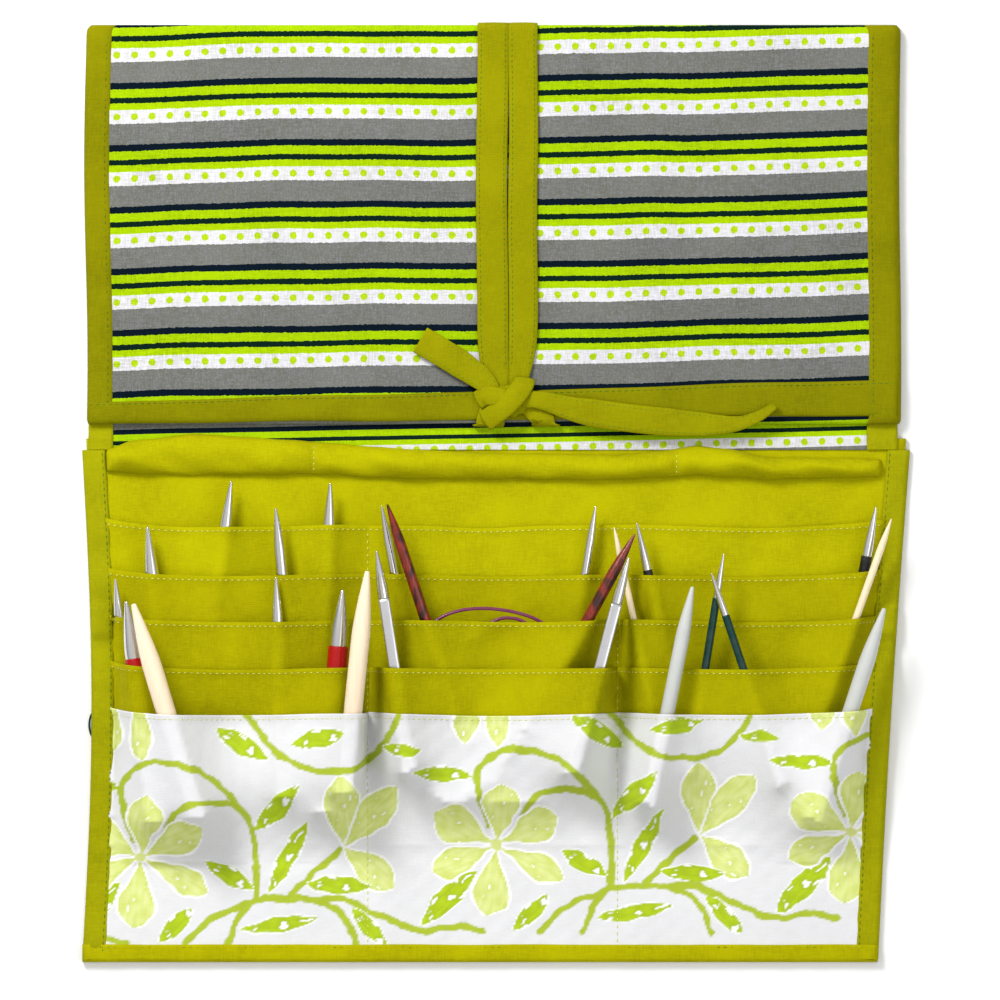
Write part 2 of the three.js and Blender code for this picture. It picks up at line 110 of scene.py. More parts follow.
def unit(value):
    """A value kept between 0 and 1."""
    return np.clip(value, 0, 1)


def direction(vectors):
    """Vectors brought to length 1."""
    return vectors / np.linalg.norm(vectors, axis=-1, keepdims=True)


def distances(path):
    """How far along a path each of its points is."""
    return np.concatenate([[0], np.cumsum(np.linalg.norm(np.diff(path, axis=0), axis=1))])


def place(name, data):
    thing = bpy.data.objects.new(name, data)
    bpy.context.scene.collection.objects.link(thing)
    return thing


def stand_in(piece, body, slot, *nodes):
    """Attaches a piece to its body, unless it blends between two, and hides the CAD nodes that it stands for. The
    slot is not used.
    """
    if body:
        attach(piece, body)
    if nodes:
        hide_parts(*nodes)


def bend_low(piece):
    """Bakes the transform of a piece that lies across the bottom strip's fold into its mesh."""
    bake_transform(piece)


# ---------- camera and light ----------
def make_camera():
    data = bpy.data.cameras.new("camera")
    data.sensor_width = 36
    data.lens = data.sensor_width * (CAMERA_HEIGHT - VIEW_PLANE) / VIEW_WIDTH
    data.clip_end = 20
    camera = place("camera", data)
    camera.location = (VIEW_CENTRE[0] * MM, HEM_Y + VIEW_CENTRE[1] * MM, CAMERA_HEIGHT)
    bpy.context.scene.camera = camera


def area_light(name, spot, size, power):
    """A square light at spot, aimed at the case's middle."""
    data = bpy.data.lights.new(name, "AREA")
    data.size = size
    data.energy = power
    light = place(name, data)
    light.location = spot
    light.rotation_euler = (-Vector(spot)).to_track_quat("-Z", "Y").to_euler()


def make_light():
    """A white world, brighter overhead than at its sides, a key light from behind and a weak fill."""
    world = bpy.data.worlds.new("studio")
    bpy.context.scene.world = world
    world.use_nodes = True
    tree = world.node_tree
    sky = tree.nodes["Background"]
    sky.inputs["Color"].default_value = (1, 1, 1, 1)
    outward = tree.nodes.new("ShaderNodeTexCoord").outputs["Generated"]
    split = tree.nodes.new("ShaderNodeSeparateXYZ")
    tree.links.new(outward, split.inputs[0])
    glow = tree.nodes.new("ShaderNodeMapRange")
    for socket, value in (("From Min", 0.1), ("From Max", 0.85), ("To Min", 0.3), ("To Max", 0.72)):
        glow.inputs[socket].default_value = value
    tree.links.new(split.outputs[2], glow.inputs["Value"])
    tree.links.new(glow.outputs[0], sky.inputs["Strength"])
    area_light("key", (-0.55, 0.8, 0.95), 0.4, 15)
    area_light("fill", (0.8, -0.2, 1.3), 1.0, 4)
    bpy.context.scene.view_settings.view_transform = "Standard"


# ---------- material nodes ----------
class Shader:
    """Adds a material's nodes and links them. On cloth, patterns follow the laid_flat attribute, the mesh's
    places at rest, so they stay on the cloth when it bends."""

    def __init__(self, name, on_cloth=False):
        self.name = name
        self.material = bpy.data.materials.new(name)
        self.material.use_nodes = True
        self.tree = self.material.node_tree
        self.base = self.tree.nodes["Principled BSDF"]
        if on_cloth:
            self.coords = self.add("ShaderNodeAttribute", attribute_name="laid_flat").outputs["Vector"]
        else:
            self.coords = self.add("ShaderNodeTexCoord").outputs["Object"]

    def add(self, kind, values=None, **settings):
        node = self.tree.nodes.new(kind)
        for key, value in settings.items():
            setattr(node, key, value)
        for key, value in (values or {}).items():
            self.feed(node.inputs[key], value)
        return node

    def feed(self, socket, value):
        if hasattr(value, "is_output"):
            self.tree.links.new(value, socket)
        else:
            socket.default_value = value

    def math(self, operation, a, b=0.0, c=0.0):
        return self.add("ShaderNodeMath", {0: a, 1: b, 2: c}, operation=operation).outputs[0]

    def noise(self, scale, detail=3.0, stretch=(1, 1, 1), roughness=0.5):
        where = self.add("ShaderNodeMapping", {"Vector": self.coords, "Scale": stretch}).outputs[0]
        values = {"Vector": where, "Scale": scale, "Detail": detail, "Roughness": roughness}
        return self.add("ShaderNodeTexNoise", values).outputs["Fac"]

    def mix(self, amount, a, b, blend="MIX"):
        node = self.add("ShaderNodeMix", data_type="RGBA", blend_type=blend)
        self.feed(node.inputs["Factor"], amount)
        self.feed(node.inputs[6], a)
        self.feed(node.inputs[7], b)
        return node.outputs[2]

    def remap(self, value, low, high, to_low=0.0, to_high=1.0):
        values = {"Value": value, "From Min": low, "From Max": high, "To Min": to_low, "To Max": to_high}
        return self.add("ShaderNodeMapRange", values).outputs[0]

    def bump(self, height, distance, strength=1.0, normal=None):
        node = self.add("ShaderNodeBump", {"Height": height, "Distance": distance, "Strength": strength})
        if normal is not None:
            self.feed(node.inputs["Normal"], normal)
        return node.outputs[0]

    def finish(self, colour, roughness, normal=None, **sockets):
        """Feeds the shader and keeps the material in looks under its name."""
        self.feed(self.base.inputs["Base Color"], colour)
        self.feed(self.base.inputs["Roughness"], roughness)
        if normal is not None:
            self.feed(self.base.inputs["Normal"], normal)
        for name, value in sockets.items():
            self.base.inputs[name.replace("_", " ")].default_value = value
        looks[self.name] = self.material


def srgb(red, green, blue):
    """A colour given as 0 to 255, as the linear values that a shader takes."""
    channels = [c / 255 for c in (red, green, blue)]
    return tuple(c / 12.92 if c <= 0.04045 else ((c + 0.055) / 1.055) ** 2.4 for c in channels) + (1,)


def woven(shader, colour, depth=0.5, weave=0.00012, shade=0.78):
    """Turns a plain colour into woven cotton: threads both ways, slubs, uneven dye and a soft nap."""
    across = shader.noise(1.0, 2.0, (260, 2300, 400))
    along = shader.noise(1.0, 2.0, (2300, 260, 400))
    threads = shader.math("ADD", across, along)
    patches = shader.noise(38.0, 5.0)
    dark = shader.mix(1.0, colour, (shade, shade, shade, 1), "MULTIPLY")
    light = shader.mix(1.0, colour, (1.16, 1.16, 1.4, 1), "MULTIPLY")
    dyed = shader.mix(shader.remap(patches, 0.35, 0.7), dark, colour)
    faded = shader.mix(shader.remap(threads, 0.8, 1.25, 0.0, depth), dyed, light)
    normal = shader.bump(threads, weave)
    crumple = shader.bump(shader.noise(120.0, 3.0), 0.0005, 0.5, normal)
    return faded, crumple


def cloth_material(name, colour, depth=0.5):
    shader = Shader(name, True)
    faded, normal = woven(shader, srgb(*colour), depth)
    shader.finish(faded, 0.9, normal, Specular_IOR_Level=0.05)


def striped_material(name, dot_row, repeat=STRIPE_REPEAT, uneven=1.0):
    """Printed stripes across the case: grey, navy, lime, dark green, lime and a white one with lime dots.
    dot_row is the y of a row of dots."""
    shader = Shader(name, True)

    def spread(value, width):
        return shader.math("MULTIPLY", shader.math("SUBTRACT", value, 0.5), width)

    split = shader.add("ShaderNodeSeparateXYZ", {0: shader.coords})
    x, y = split.outputs[0], split.outputs[1]
    ragged = spread(shader.noise(900.0, 2.0, (1, 0.4, 1)), 0.0009 * uneven)
    drift = spread(shader.noise(9.0, 2.0, (1, 0.3, 1)), 0.006 * uneven)
    start = HEM_Y + (dot_row + DOTS_AT * repeat) * MM
    down = shader.math("SUBTRACT", shader.math("MULTIPLY_ADD", x, STRIPE_SLOPE, start), y)
    down = shader.math("ADD", shader.math("ADD", down, drift), ragged)
    part = shader.math("FRACT", shader.math("DIVIDE", down, repeat * MM))
    ramp = shader.add("ShaderNodeValToRGB", {0: part})
    ramp.color_ramp.interpolation = "CONSTANT"
    stops = ramp.color_ramp.elements
    while len(stops) < len(BANDS):
        stops.new(0.5)
    for stop, (begins, colour) in zip(stops, BANDS):
        stop.position = begins
        stop.color = srgb(*colour)
    beside = spread(shader.math("FRACT", shader.math("DIVIDE", x, DOT_PITCH * MM)), DOT_PITCH * MM)
    above = shader.math("MULTIPLY", shader.math("SUBTRACT", part, DOTS_AT), repeat * MM)
    squares = [shader.math("POWER", value, 2.0) for value in (beside, above)]
    away = shader.math("SQRT", shader.math("ADD", *squares))
    wobble = spread(shader.noise(600.0), 0.0008)
    inside = shader.math("LESS_THAN", shader.math("ADD", away, wobble), DOT_RADIUS * MM)
    printed = shader.mix(inside, ramp.outputs[0], srgb(*DOT_COLOUR))
    flecks = shader.remap(shader.noise(1.0, 2.0, (1500, 1100, 900)), 0.48, 0.68, 0.0, 0.34)
    pale = shader.mix(1.0, printed, (1.9, 1.9, 1.9, 1), "MULTIPLY")
    in_grey = shader.math("LESS_THAN", part, BANDS[1][0])
    printed = shader.mix(shader.math("MULTIPLY", flecks, in_grey), printed, pale)
    faded, normal = woven(shader, printed, 0.9, 0.00016)
    shader.finish(faded, 0.9, normal, Specular_IOR_Level=0.06)


def printed_material(name):
    """White cotton with the floral print, whose ink is in the mesh's colour attribute."""
    shader = Shader(name, True)
    ink = shader.add("ShaderNodeVertexColor", layer_name="print").outputs["Color"]
    faded, normal = woven(shader, ink, 0.15, 0.00008, 0.95)
    shader.finish(faded, 0.85, normal, Specular_IOR_Level=0.2)


def metal_material(name, colour, roughness, brushed=0.00001):
    """Metal, its colour given as linear values."""
    shader = Shader(name)
    scratches = shader.noise(1.0, 3.0, (3500, 250, 3500))
    smudges = shader.noise(90.0, 3.0)
    rough = shader.remap(smudges, 0.3, 0.75, roughness, roughness + 0.14)
    tone = shader.mix(shader.remap(smudges, 0.3, 0.8, 0.0, 0.25), colour, (0.45, 0.44, 0.42, 1))
    shader.finish(tone, rough, shader.bump(scratches, brushed), Metallic=1.0)


def gloss_material(name, colour, roughness=0.25, transmission=0.0):
    shader = Shader(name)
    worn = shader.noise(160.0, 4.0)
    tone = shader.mix(shader.remap(worn, 0.45, 0.8, 0.0, 0.12), srgb(*colour), (0.22, 0.22, 0.22, 1))
    rough = shader.remap(worn, 0.3, 0.8, roughness, roughness + 0.2)
    normal = shader.bump(shader.noise(400.0, 2.0), 0.00003)
    shader.finish(
        tone, rough, normal, Coat_Weight=0.05, Specular_IOR_Level=0.3, Transmission_Weight=transmission
    )


def wood_material(name, light, dark, grain=0.6, roughness=0.42, mottle=0.0):
    """Wood grain along the case's length, which is nearly along every needle."""
    shader = Shader(name)
    light, dark = srgb(*light), srgb(*dark)
    rings = shader.noise(1.0, 4.0, (1400, 45, 900), 0.6)
    pores = shader.noise(1.0, 2.0, (5200, 300, 5200))
    tone = shader.mix(shader.remap(rings, 0.35, 0.68, 0.0, grain), light, dark)
    tone = shader.mix(shader.remap(pores, 0.62, 0.75, 0.0, 0.35), tone, dark)
    blotches = shader.noise(1.0, 3.0, (330, 150, 330))
    tone = shader.mix(shader.remap(blotches, 0.44, 0.62, 0.0, mottle), tone, dark)
    shader.finish(tone, roughness, shader.bump(pores, 0.00004), Coat_Weight=0.12)


def make_materials():
    cloth_material("green_cotton", (179, 175, 2))
    cloth_material("binding_cotton", (160, 159, 6))
    # The lower tiers' cloth is the green cotton made darker: painted shade for the light falling off towards the
    # bottom of the case
    cloth_material("pocket_cotton", (169, 164, 1))
    cloth_material("cover_binding_cotton", (134, 132, 2))
    cloth_material("ribbon_cotton", (147, 145, 2))
    striped_material("striped_cotton", DOTS_Y)
    striped_material("folded_striped_cotton", FOLD_DOTS_Y, FOLD_REPEAT, FOLD_UNEVEN)
    printed_material("floral_cotton")
    cloth_material("pale_thread", (236, 240, 120), 0.2)
    cloth_material("green_thread", (104, 146, 40), 0.2)
    metal_material("polished_steel", (0.74, 0.73, 0.72, 1), 0.1)
    metal_material("satin_steel", (0.74, 0.74, 0.77, 1), 0.22, 0.00002)
    gloss_material("black_lacquer", (14, 12, 12))
    gloss_material("red_lacquer", (170, 6, 8), 0.24)
    gloss_material("green_lacquer", (2, 52, 46))
    gloss_material("grey_plastic", (200, 202, 198), 0.34)
    gloss_material("cable_plastic", (128, 52, 92), 0.2, 0.15)
    wood_material("laminated_wood", (150, 40, 18), (34, 10, 10), 0.7, 0.3, 0.9)
    wood_material("bamboo", (252, 234, 196), (216, 184, 134), 0.4)
    wood_material("birch", (255, 234, 204), (232, 198, 158), 0.35)


# ---------- mesh helpers ----------
def make_piece(name, points, faces, materials, face_materials=None):
    """A smooth-shaded mesh from points in case millimetres."""
    points = np.asarray(points, float)
    metres = np.column_stack([points[:, 0] * MM, HEM_Y + points[:, 1] * MM, points[:, 2] * MM])
    mesh = bpy.data.meshes.new(name)
    mesh.from_pydata(metres.tolist(), [], [list(map(int, f)) for f in faces])
    for key in materials:
        mesh.materials.append(looks[key])
    if face_materials is not None:
        mesh.polygons.foreach_set("material_index", np.asarray(face_materials, np.int32))
    mesh.polygons.foreach_set("use_smooth", np.ones(len(mesh.polygons), bool))
    laid_flat = mesh.attributes.new("laid_flat", "FLOAT_VECTOR", "POINT")
    laid_flat.data.foreach_set("vector", metres.ravel())
    mesh.update()
    return place(name, mesh)


def double_sheet(name, x, y, top, under, materials):
    """A closed sheet over a grid: its top, its underside and a rim. A second material is the underside's."""
    rows, columns = x.shape
    count = rows * columns
    points = np.concatenate([np.stack([x, y, z], -1).reshape(-1, 3) for z in (top, under)])
    index = np.arange(count).reshape(rows, columns)
    a, b = index[:-1, :-1].ravel(), index[:-1, 1:].ravel()
    c, d = index[1:, 1:].ravel(), index[1:, :-1].ravel()
    upper = np.stack([a, b, c, d], 1)
    lower = np.stack([a, d, c, b], 1) + count
    ring = np.concatenate([index[0, :-1], index[:-1, -1], index[-1, :0:-1], index[:0:-1, 0]])
    after = np.roll(ring, -1)
    rim = np.stack([ring, ring + count, after + count, after], 1)
    faces = np.concatenate([upper, lower, rim])
    which = np.zeros(len(faces), int)
    if len(materials) > 1:
        which[len(upper) : len(upper) + len(lower)] = 1
    return make_piece(name, points, faces, materials, which)


def tube_faces(rings, sides, closed=False, capped=True):
    """The faces between rings of points, numbered ring by ring, and the caps of an open tube."""
    faces = []
    for i in range(rings if closed else rings - 1):
        j = (i + 1) % rings
        for k in range(sides):
            q = (k + 1) % sides
            faces.append((i * sides + k, i * sides + q, j * sides + q, j * sides + k))
    if capped and not closed:
        faces.append(tuple(range(sides))[::-1])
        faces.append(tuple((rings - 1) * sides + k for k in range(sides)))
    return faces


def swept(name, centres, ups, section, material, closed=False, scale=None):
    """Sweeps a flat section (points of across, up) along centres. ups are the section's upward directions."""
    centres = np.asarray(centres, float)
    section = np.asarray(section, float)
    ahead = np.roll(centres, -1, 0) - np.roll(centres, 1, 0) if closed else np.gradient(centres, axis=0)
    ahead = direction(ahead)
    across = direction(np.cross(ahead, np.asarray(ups, float)))
    up = np.cross(across, ahead)
    scale = np.ones(len(centres)) if scale is None else np.asarray(scale)
    wide = section[None, :, 0, None] * scale[:, None, None]
    points = centres[:, None] + across[:, None] * wide + up[:, None] * section[None, :, 1, None]
    faces = tube_faces(len(centres), len(section), closed)
    return make_piece(name, points.reshape(-1, 3), faces, [material])


def flat_section(width, thick, dome=0.15, sides=7):
    """A woven tape's section: thin, slightly domed, with rounded edges."""
    across = np.linspace(-0.5, 0.5, sides)
    upper = [(width * s, thick / 2 + dome * (1 - 4 * s * s)) for s in across]
    lower = [(width * s, -thick / 2 + dome * (1 - 4 * s * s)) for s in across[::-1]]
    edge = width * 0.5 + thick * 0.35
    return upper[::-1] + [(-edge, 0)] + lower[::-1] + [(edge, 0)]


def smooth_path(points, count):
    """A Catmull-Rom curve through points, at evenly spaced places."""
    p = np.asarray(points, float)
    p = np.vstack([2 * p[0] - p[1], p, 2 * p[-1] - p[-2]])
    out = []
    for a, b, c, d in zip(p, p[1:], p[2:], p[3:]):
        for t in np.linspace(0, 1, 24, endpoint=False):
            bend = (2 * a - 5 * b + 4 * c - d) * t**2 + (3 * b - a - 3 * c + d) * t**3
            out.append(0.5 * (2 * b + (c - a) * t + bend))
    out = np.array(out + [p[-2]])
    along = distances(out)
    want = np.linspace(0, along[-1], count)
    return np.stack([np.interp(want, along, out[:, k]) for k in range(p.shape[1])], 1)


def rounded(rise):
    """A quarter circle's height from 0 at its edge to 1 where rise reaches 1."""
    return np.sqrt(unit(1 - (1 - np.minimum(rise, 1)) ** 2))


def ripple(x, y, size, seed):
    """Smooth noise of about -1 to 1 from a few crossed waves, the same each run."""
    waves = np.random.default_rng(seed)
    total = 0.0
    for _ in range(6):
        turn, phase = waves.uniform(0, 2 * math.pi, 2)
        length = size * waves.uniform(0.6, 1.6)
        total = total + np.sin((x * math.cos(turn) + y * math.sin(turn)) * 2 * math.pi / length + phase)
    return total / 3.2


# ---------- the case's outline ----------
def left_edge(y):
    return -HALF_WIDTH + LEFT_BOW * np.sin(np.pi * y / SIDE_TOP)


def right_edge(y):
    return HALF_WIDTH - RIGHT_TAPER * (1 - y / SIDE_TOP) - RIGHT_BOW * np.sin(np.pi * y / SIDE_TOP)


# ---------- needles, from their CAD nodes ----------
def corners_of(*nodes):
    """The corners of CAD nodes, in millimetres of the case."""
    points = np.array([v.co for n in nodes for v in frame["nodes"][n].data.vertices])
    points[:, 1] -= HEM_Y
    return points / MM


class Needle:
    """Where one needle lies, read from its CAD nodes and its joint."""

    def __init__(self, name, body, tier):
        own = [n for n in frame["record"]["behaviour"]["bodies"][body] if n.startswith(name)]
        points = corners_of(*own)
        if body == "circular_needle":
            axis = np.linalg.svd(points - points.mean(0), full_matrices=False)[2][0]
            axis = axis * np.sign(axis[1])
        else:
            axis = np.array(next(j["axis"] for j in frame["joints"] if j["child"] == body))
        self.name, self.body, self.tier, self.axis = name, body, tier, axis
        along = points @ axis
        back = points[along < along.min() + 1.0]
        self.end = back.mean(0)
        self.length = along.max() - along.min()
        away = back - self.end
        away -= np.outer(away @ axis, axis)
        self.radius = np.linalg.norm(away, axis=1).max()
        self.joint_at = None
        if name + "_shaft" in own:
            self.joint_at = (corners_of(name + "_shaft") @ axis).max() - along.min()

    def height_over(self, x, y):
        """The needle's top above each grid point, or a low number where it isn't."""
        level = np.linalg.norm(self.axis[:2])
        flat = self.axis[:2] / level
        dx, dy = x - self.end[0], y - self.end[1]
        along = dx * flat[0] + dy * flat[1]
        away = np.maximum(np.abs(dx * flat[1] - dy * flat[0]) - NEEDLE_EASE, 0)
        rise = self.end[2] + along * self.axis[2] / level
        lies = (away < self.radius) & (along > -1.5) & (along < self.length)
        round_top = np.sqrt(np.maximum(self.radius**2 - away**2, 0))
        return np.where(lies, rise + round_top, -99.0)


def find_needles():
    tiers = (
        "steel_tip_1 steel_tip_2",
        "steel_tip_3 steel_tip_4 steel_tip_5 steel_tip_6 black_tip_1 black_tip_2",
        "steel_tip_7 steel_tip_8 ivory_tip_1 ivory_tip_2 wood_tip_left wood_tip_right",
        "red_tip_1 red_tip_2 square_tip_1 square_tip_2 green_tip_1 green_tip_2",
        "birch_tip_1 birch_tip_2 grey_tip_1 grey_tip_2",
    )
    found = []
    for tier, names in enumerate(tiers, 1):
        for name in names.split():
            body = "circular_needle" if name.startswith("wood") else name + "_needle"
            found.append(Needle(name, body, tier))
    return found


def lathe(needle, node, stations, slot, sides=28):
    """A turned piece in a CAD node's place. Stations are (distance from the back end, radius, squareness)."""
    axis = direction(needle.axis)
    side = direction(np.cross([0, 0, 1], axis))
    up = np.cross(axis, side)
    points = []
    angles = np.arange(sides) * 2 * math.pi / sides
    cosine, sine = np.cos(angles), np.sin(angles)
    square = np.minimum(1 / np.maximum(np.abs(cosine), np.abs(sine)), 1.3)
    for far, radius, squareness in stations:
        reach = (square * squareness + (1 - squareness)) * radius
        points.extend(needle.end + axis * far + np.outer(cosine * reach, side) + np.outer(sine * reach, up))
    piece = make_piece(node + "_turned", points, tube_faces(len(stations), sides), [slot])
    stand_in(piece, needle.body, slot, node)


def pointed(radius, length, taper, blunt=0.2):
    """Stations of a needle from its back edge to its rounded point, the taper slightly bellied."""
    start = length - taper
    stations = [(0.0, radius * 0.86), (0.35, radius), (start - 2.5, radius), (start - 0.8, radius * 0.995)]
    for t in np.linspace(0.0, 1.0, 16):
        shape = 1 - t**1.45
        stations.append((start + t * (taper - blunt * 2), radius * (blunt + (1 - blunt) * shape)))
    for turn in (0.35, 0.7, 0.93, 1.0):
        stations.append((length - blunt * 2 * (1 - turn), radius * blunt * math.sqrt(1 - turn**2) + 0.01))
    kept = [s for i, s in enumerate(stations) if i == 0 or s[0] > stations[i - 1][0] + 1e-6]
    return [(far, wide, 0.0) for far, wide in kept]


SLOTS = {  # each kind's slot, which its look is named after
    "black": "black_lacquer", "red": "red_lacquer", "green": "green_lacquer", "square": "satin_steel",
    "steel": "polished_steel", "ivory": "bamboo", "wood": "laminated_wood", "birch": "birch",
    "grey": "grey_plastic",
}


def make_needle(needle):
    kind = needle.name.split("_")[0]
    if needle.joint_at is None:
        taper = min(27.0, needle.radius * 6.0 + 4.0)
        stations = pointed(needle.radius, needle.length, taper, 0.26 if kind in ("birch", "grey") else 0.2)
        lathe(needle, needle.name, stations, SLOTS[kind])
        return
    joint = needle.joint_at
    if kind == "square":
        wide, sides = needle.radius / math.sqrt(2), 32
        shaft = [(0, wide * 0.93, 0.9), (0.5, wide, 1.0), (joint - 1.2, wide, 1.0), (joint, wide * 0.98, 0.7)]
        neck = wide * 0.98
    else:
        wide, sides = needle.radius, 28
        shaft = [(0, wide * 0.9, 0), (0.4, wide, 0), (joint - 0.3, wide, 0), (joint, wide * 0.98, 0)]
        neck = wide * 0.97
    lathe(needle, needle.name + "_shaft", shaft, SLOTS[kind], sides)
    start = joint - 0.05
    own = needle.length - start
    point = [(start + far, radius, 0.0) for far, radius, _ in pointed(neck, own, own - 3.2) if far > 0.5]
    point = [(start, neck * 0.97, 0.0), (start + 0.3, neck, 0.0)] + point
    lathe(needle, needle.name + "_point", point, "polished_steel")


# The cable's route between its needles, as the CAD has it: x, y and how many turns it lies above the lowest
CABLE_POINTS = (
    (-7, 84, 0.6), (8, 77, 0), (20, 87, 0), (25, 106, 0), (21, 128, 0),
    (13, 138, 0), (5.8, 140.8, 0), (-2, 139, 0), (-14, 130, 0), (-21, 112, 0),
    (-21, 92, 0), (-12, 74, 0), (6, 66, 0), (24, 73, 0), (34, 95, 0),
    (31, 122, 0), (18.6, 139, 0), (-4.7, 144.7, 0), (-24.3, 139.8, 0), (-36, 122, 0),
    (-37, 96, 0), (-31, 77, 0.5), (-19, 67, 1), (-7, 71, 1.2), (2, 79, 1.5),
)
CABLE = 1.4
CABLE_LEVEL = 1.9  # a turn's height over the one below


def make_cable(needles):
    ends = {n.name: n for n in needles}
    left, right = ends["wood_tip_left"], ends["wood_tip_right"]
    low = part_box("cable")[0].z / MM + CABLE / 2
    route = [left.end - left.axis * 0.3, left.end - left.axis * 4]
    route += [(x, y, low + level * CABLE_LEVEL) for x, y, level in CABLE_POINTS]
    route += [right.end - right.axis * 4, right.end - right.axis * 0.3]
    path = smooth_path(route, 400)
    data = bpy.data.curves.new("cable_line", "CURVE")
    data.dimensions = "3D"
    spline = data.splines.new("POLY")
    spline.points.add(len(path) - 1)
    for point, (x, y, z) in zip(spline.points, path):
        point.co = (*at(x, y, z), 1)
    data.bevel_depth = CABLE / 2 * MM
    data.bevel_resolution = 4
    data.use_fill_caps = True
    data.materials.append(looks["cable_plastic"])
    cable = place("cable_line", data)
    stand_in(cable, "circular_needle", "cable_plastic", "cable")
    return path


# ---------- pocket cloths, drawn tight over the needles ----------
COLUMNS = 210
ROW_PITCH, FOLD_PITCH = 1.9, 0.8
DRAPE_STEPS, DRAPE_SAG = 220, 0.028
SAG_DEPTH = 17  # how far down a pocket its upper edge's dips reach


def make_rows():
    """The y of the cloths' rows, closer together where the strip folds."""
    rows = [ROW_ANCHORS[0]]
    for low, high in zip(ROW_ANCHORS, ROW_ANCHORS[1:]):
        steps = max(1, round((high - low) / (FOLD_PITCH if high == FOLD_Y + 3 else ROW_PITCH)))
        rows += list(np.linspace(low, high, steps + 1)[1:])
    return np.array(rows)


ROWS = make_rows()


def edge_sag(x, tier):
    """How far a tier's upper edge dips between its seams and rises at its two ends."""
    dip = 0.0
    for low, high in ((-160, SEAMS[0]), SEAMS, (SEAMS[1], 160)):
        across = unit((x - low) / (high - low))
        dip = dip - 0.9 * np.sin(np.pi * across) ** 2
    ends = np.exp(-(x + 158) / 9) * 2.4 + np.exp((x - 156) / 12) * 1.8
    return dip + ends + 0.35 * ripple(x, 0 * x, 60, 40 + tier)


def drape(floor, obstacle, x):
    """Lets a cloth sink onto what lies under it: it stays taut near a needle and falls off beside it. Its
    seams, its sides and its lowest rows are held down."""
    height = obstacle.copy()
    pinned = np.maximum(floor + CLOTH_GAP, obstacle)
    held = np.any([np.abs(x - seam) < SEAM_REACH for seam in SEAMS], 0)
    held[:, :2] = held[:, -2:] = held[:2] = True
    for _ in range(DRAPE_STEPS):
        around = height.copy()
        around[1:-1] = (height[:-2] + height[2:]) / 2
        around[-1] = height[-2]
        sideways = height.copy()
        sideways[:, 1:-1] = (height[:, :-2] + height[:, 2:]) / 2
        eased = 0.35 * around + 0.65 * sideways - DRAPE_SAG
        height = np.where(held, pinned, np.maximum(eased, obstacle))
    return height


def pocket_grid():
    y = np.repeat(ROWS[:, None], COLUMNS + 1, 1)
    low, high = left_edge(y) + BINDING - TUCK, right_edge(y) - BINDING + TUCK
    return low + (high - low) * np.linspace(0, 1, COLUMNS + 1), y


class Surface:
    """A cloth's top as a height field, for laying stitches on."""

    def __init__(self, x, y, top):
        self.x, self.y, self.top = x, y, top

    def height(self, px, py):
        j = int(np.clip(np.searchsorted(self.y[:, 0], py) - 1, 0, len(self.y) - 2))
        part = unit((py - self.y[j, 0]) / (self.y[j + 1, 0] - self.y[j, 0]))
        a = np.interp(px, self.x[j], self.top[j])
        b = np.interp(px, self.x[j + 1], self.top[j + 1])
        return float(a + (b - a) * part)


def make_pockets(needles, cable_path):
    """The five cloths from the back one on, each over the needles and cloths so far. Returns their surfaces
    and the height that they reach together."""
    grid_x, grid_y = pocket_grid()
    floor = np.full(grid_x.shape, CLOTH)
    surfaces = []
    for tier, (start, edge) in enumerate(zip(TIER_ENDS, TIER_EDGES), 1):
        first, last = [int(np.argmin(np.abs(ROWS - y))) for y in (start, edge)]
        part = slice(first, last + 1)
        x, y = grid_x[part], grid_y[part]
        below = floor[part]
        rise = unit((y - y[-1] + SAG_DEPTH) / SAG_DEPTH) ** 2
        moved = y + rise * edge_sag(x, tier)
        obstacle = below + CLOTH_GAP
        for needle in needles:
            if needle.tier <= tier:
                obstacle = np.maximum(obstacle, needle.height_over(x, moved) + NEEDLE_GAP)
        if tier == 3:
            for cx, cy, cz in cable_path[::2]:
                near = (np.abs(x - cx) < 1.6) & (np.abs(moved - cy) < 1.8)
                obstacle = np.where(near, np.maximum(obstacle, cz + CABLE / 2 + NEEDLE_GAP), obstacle)
        height = drape(below, obstacle, x)
        puckers = 0.22 + 0.22 * ripple(x, y * 0.6, 26, 10 + tier) + 0.1 * ripple(x, y, 9, 20 + tier)
        mouth = np.exp(-(y[-1] - y) / 3.2) * (0.75 + 0.5 * ripple(x, 0 * x, 48, 30 + tier))
        quiet = np.ones(x.shape)
        for seam in SEAMS:
            quiet *= 1 - np.exp(-(((x - seam) / 3.5) ** 2))
        height = height + (np.maximum(puckers, 0) + np.maximum(mouth, 0)) * quiet
        top = height + SHEET + 0.35 * np.exp(-((y[-1] - y) / 2.2) ** 4)
        if tier < 5:
            node = "pocket_cloth_%d" % tier
            # tiers 2 to 4 take the darker copy of the green cotton, which is painted shade
            look = "green_cotton" if tier == 1 else "pocket_cotton"
            piece = double_sheet(node + "_draped", x, moved, top, height, [look])
            stand_in(piece, "pocket_leaf", "green_quilting_cloth", node)
        else:
            make_floral(x, moved, top, height)
        surfaces.append(Surface(x, moved, top))
        floor[part] = np.maximum(below, top)
    return surfaces, floor


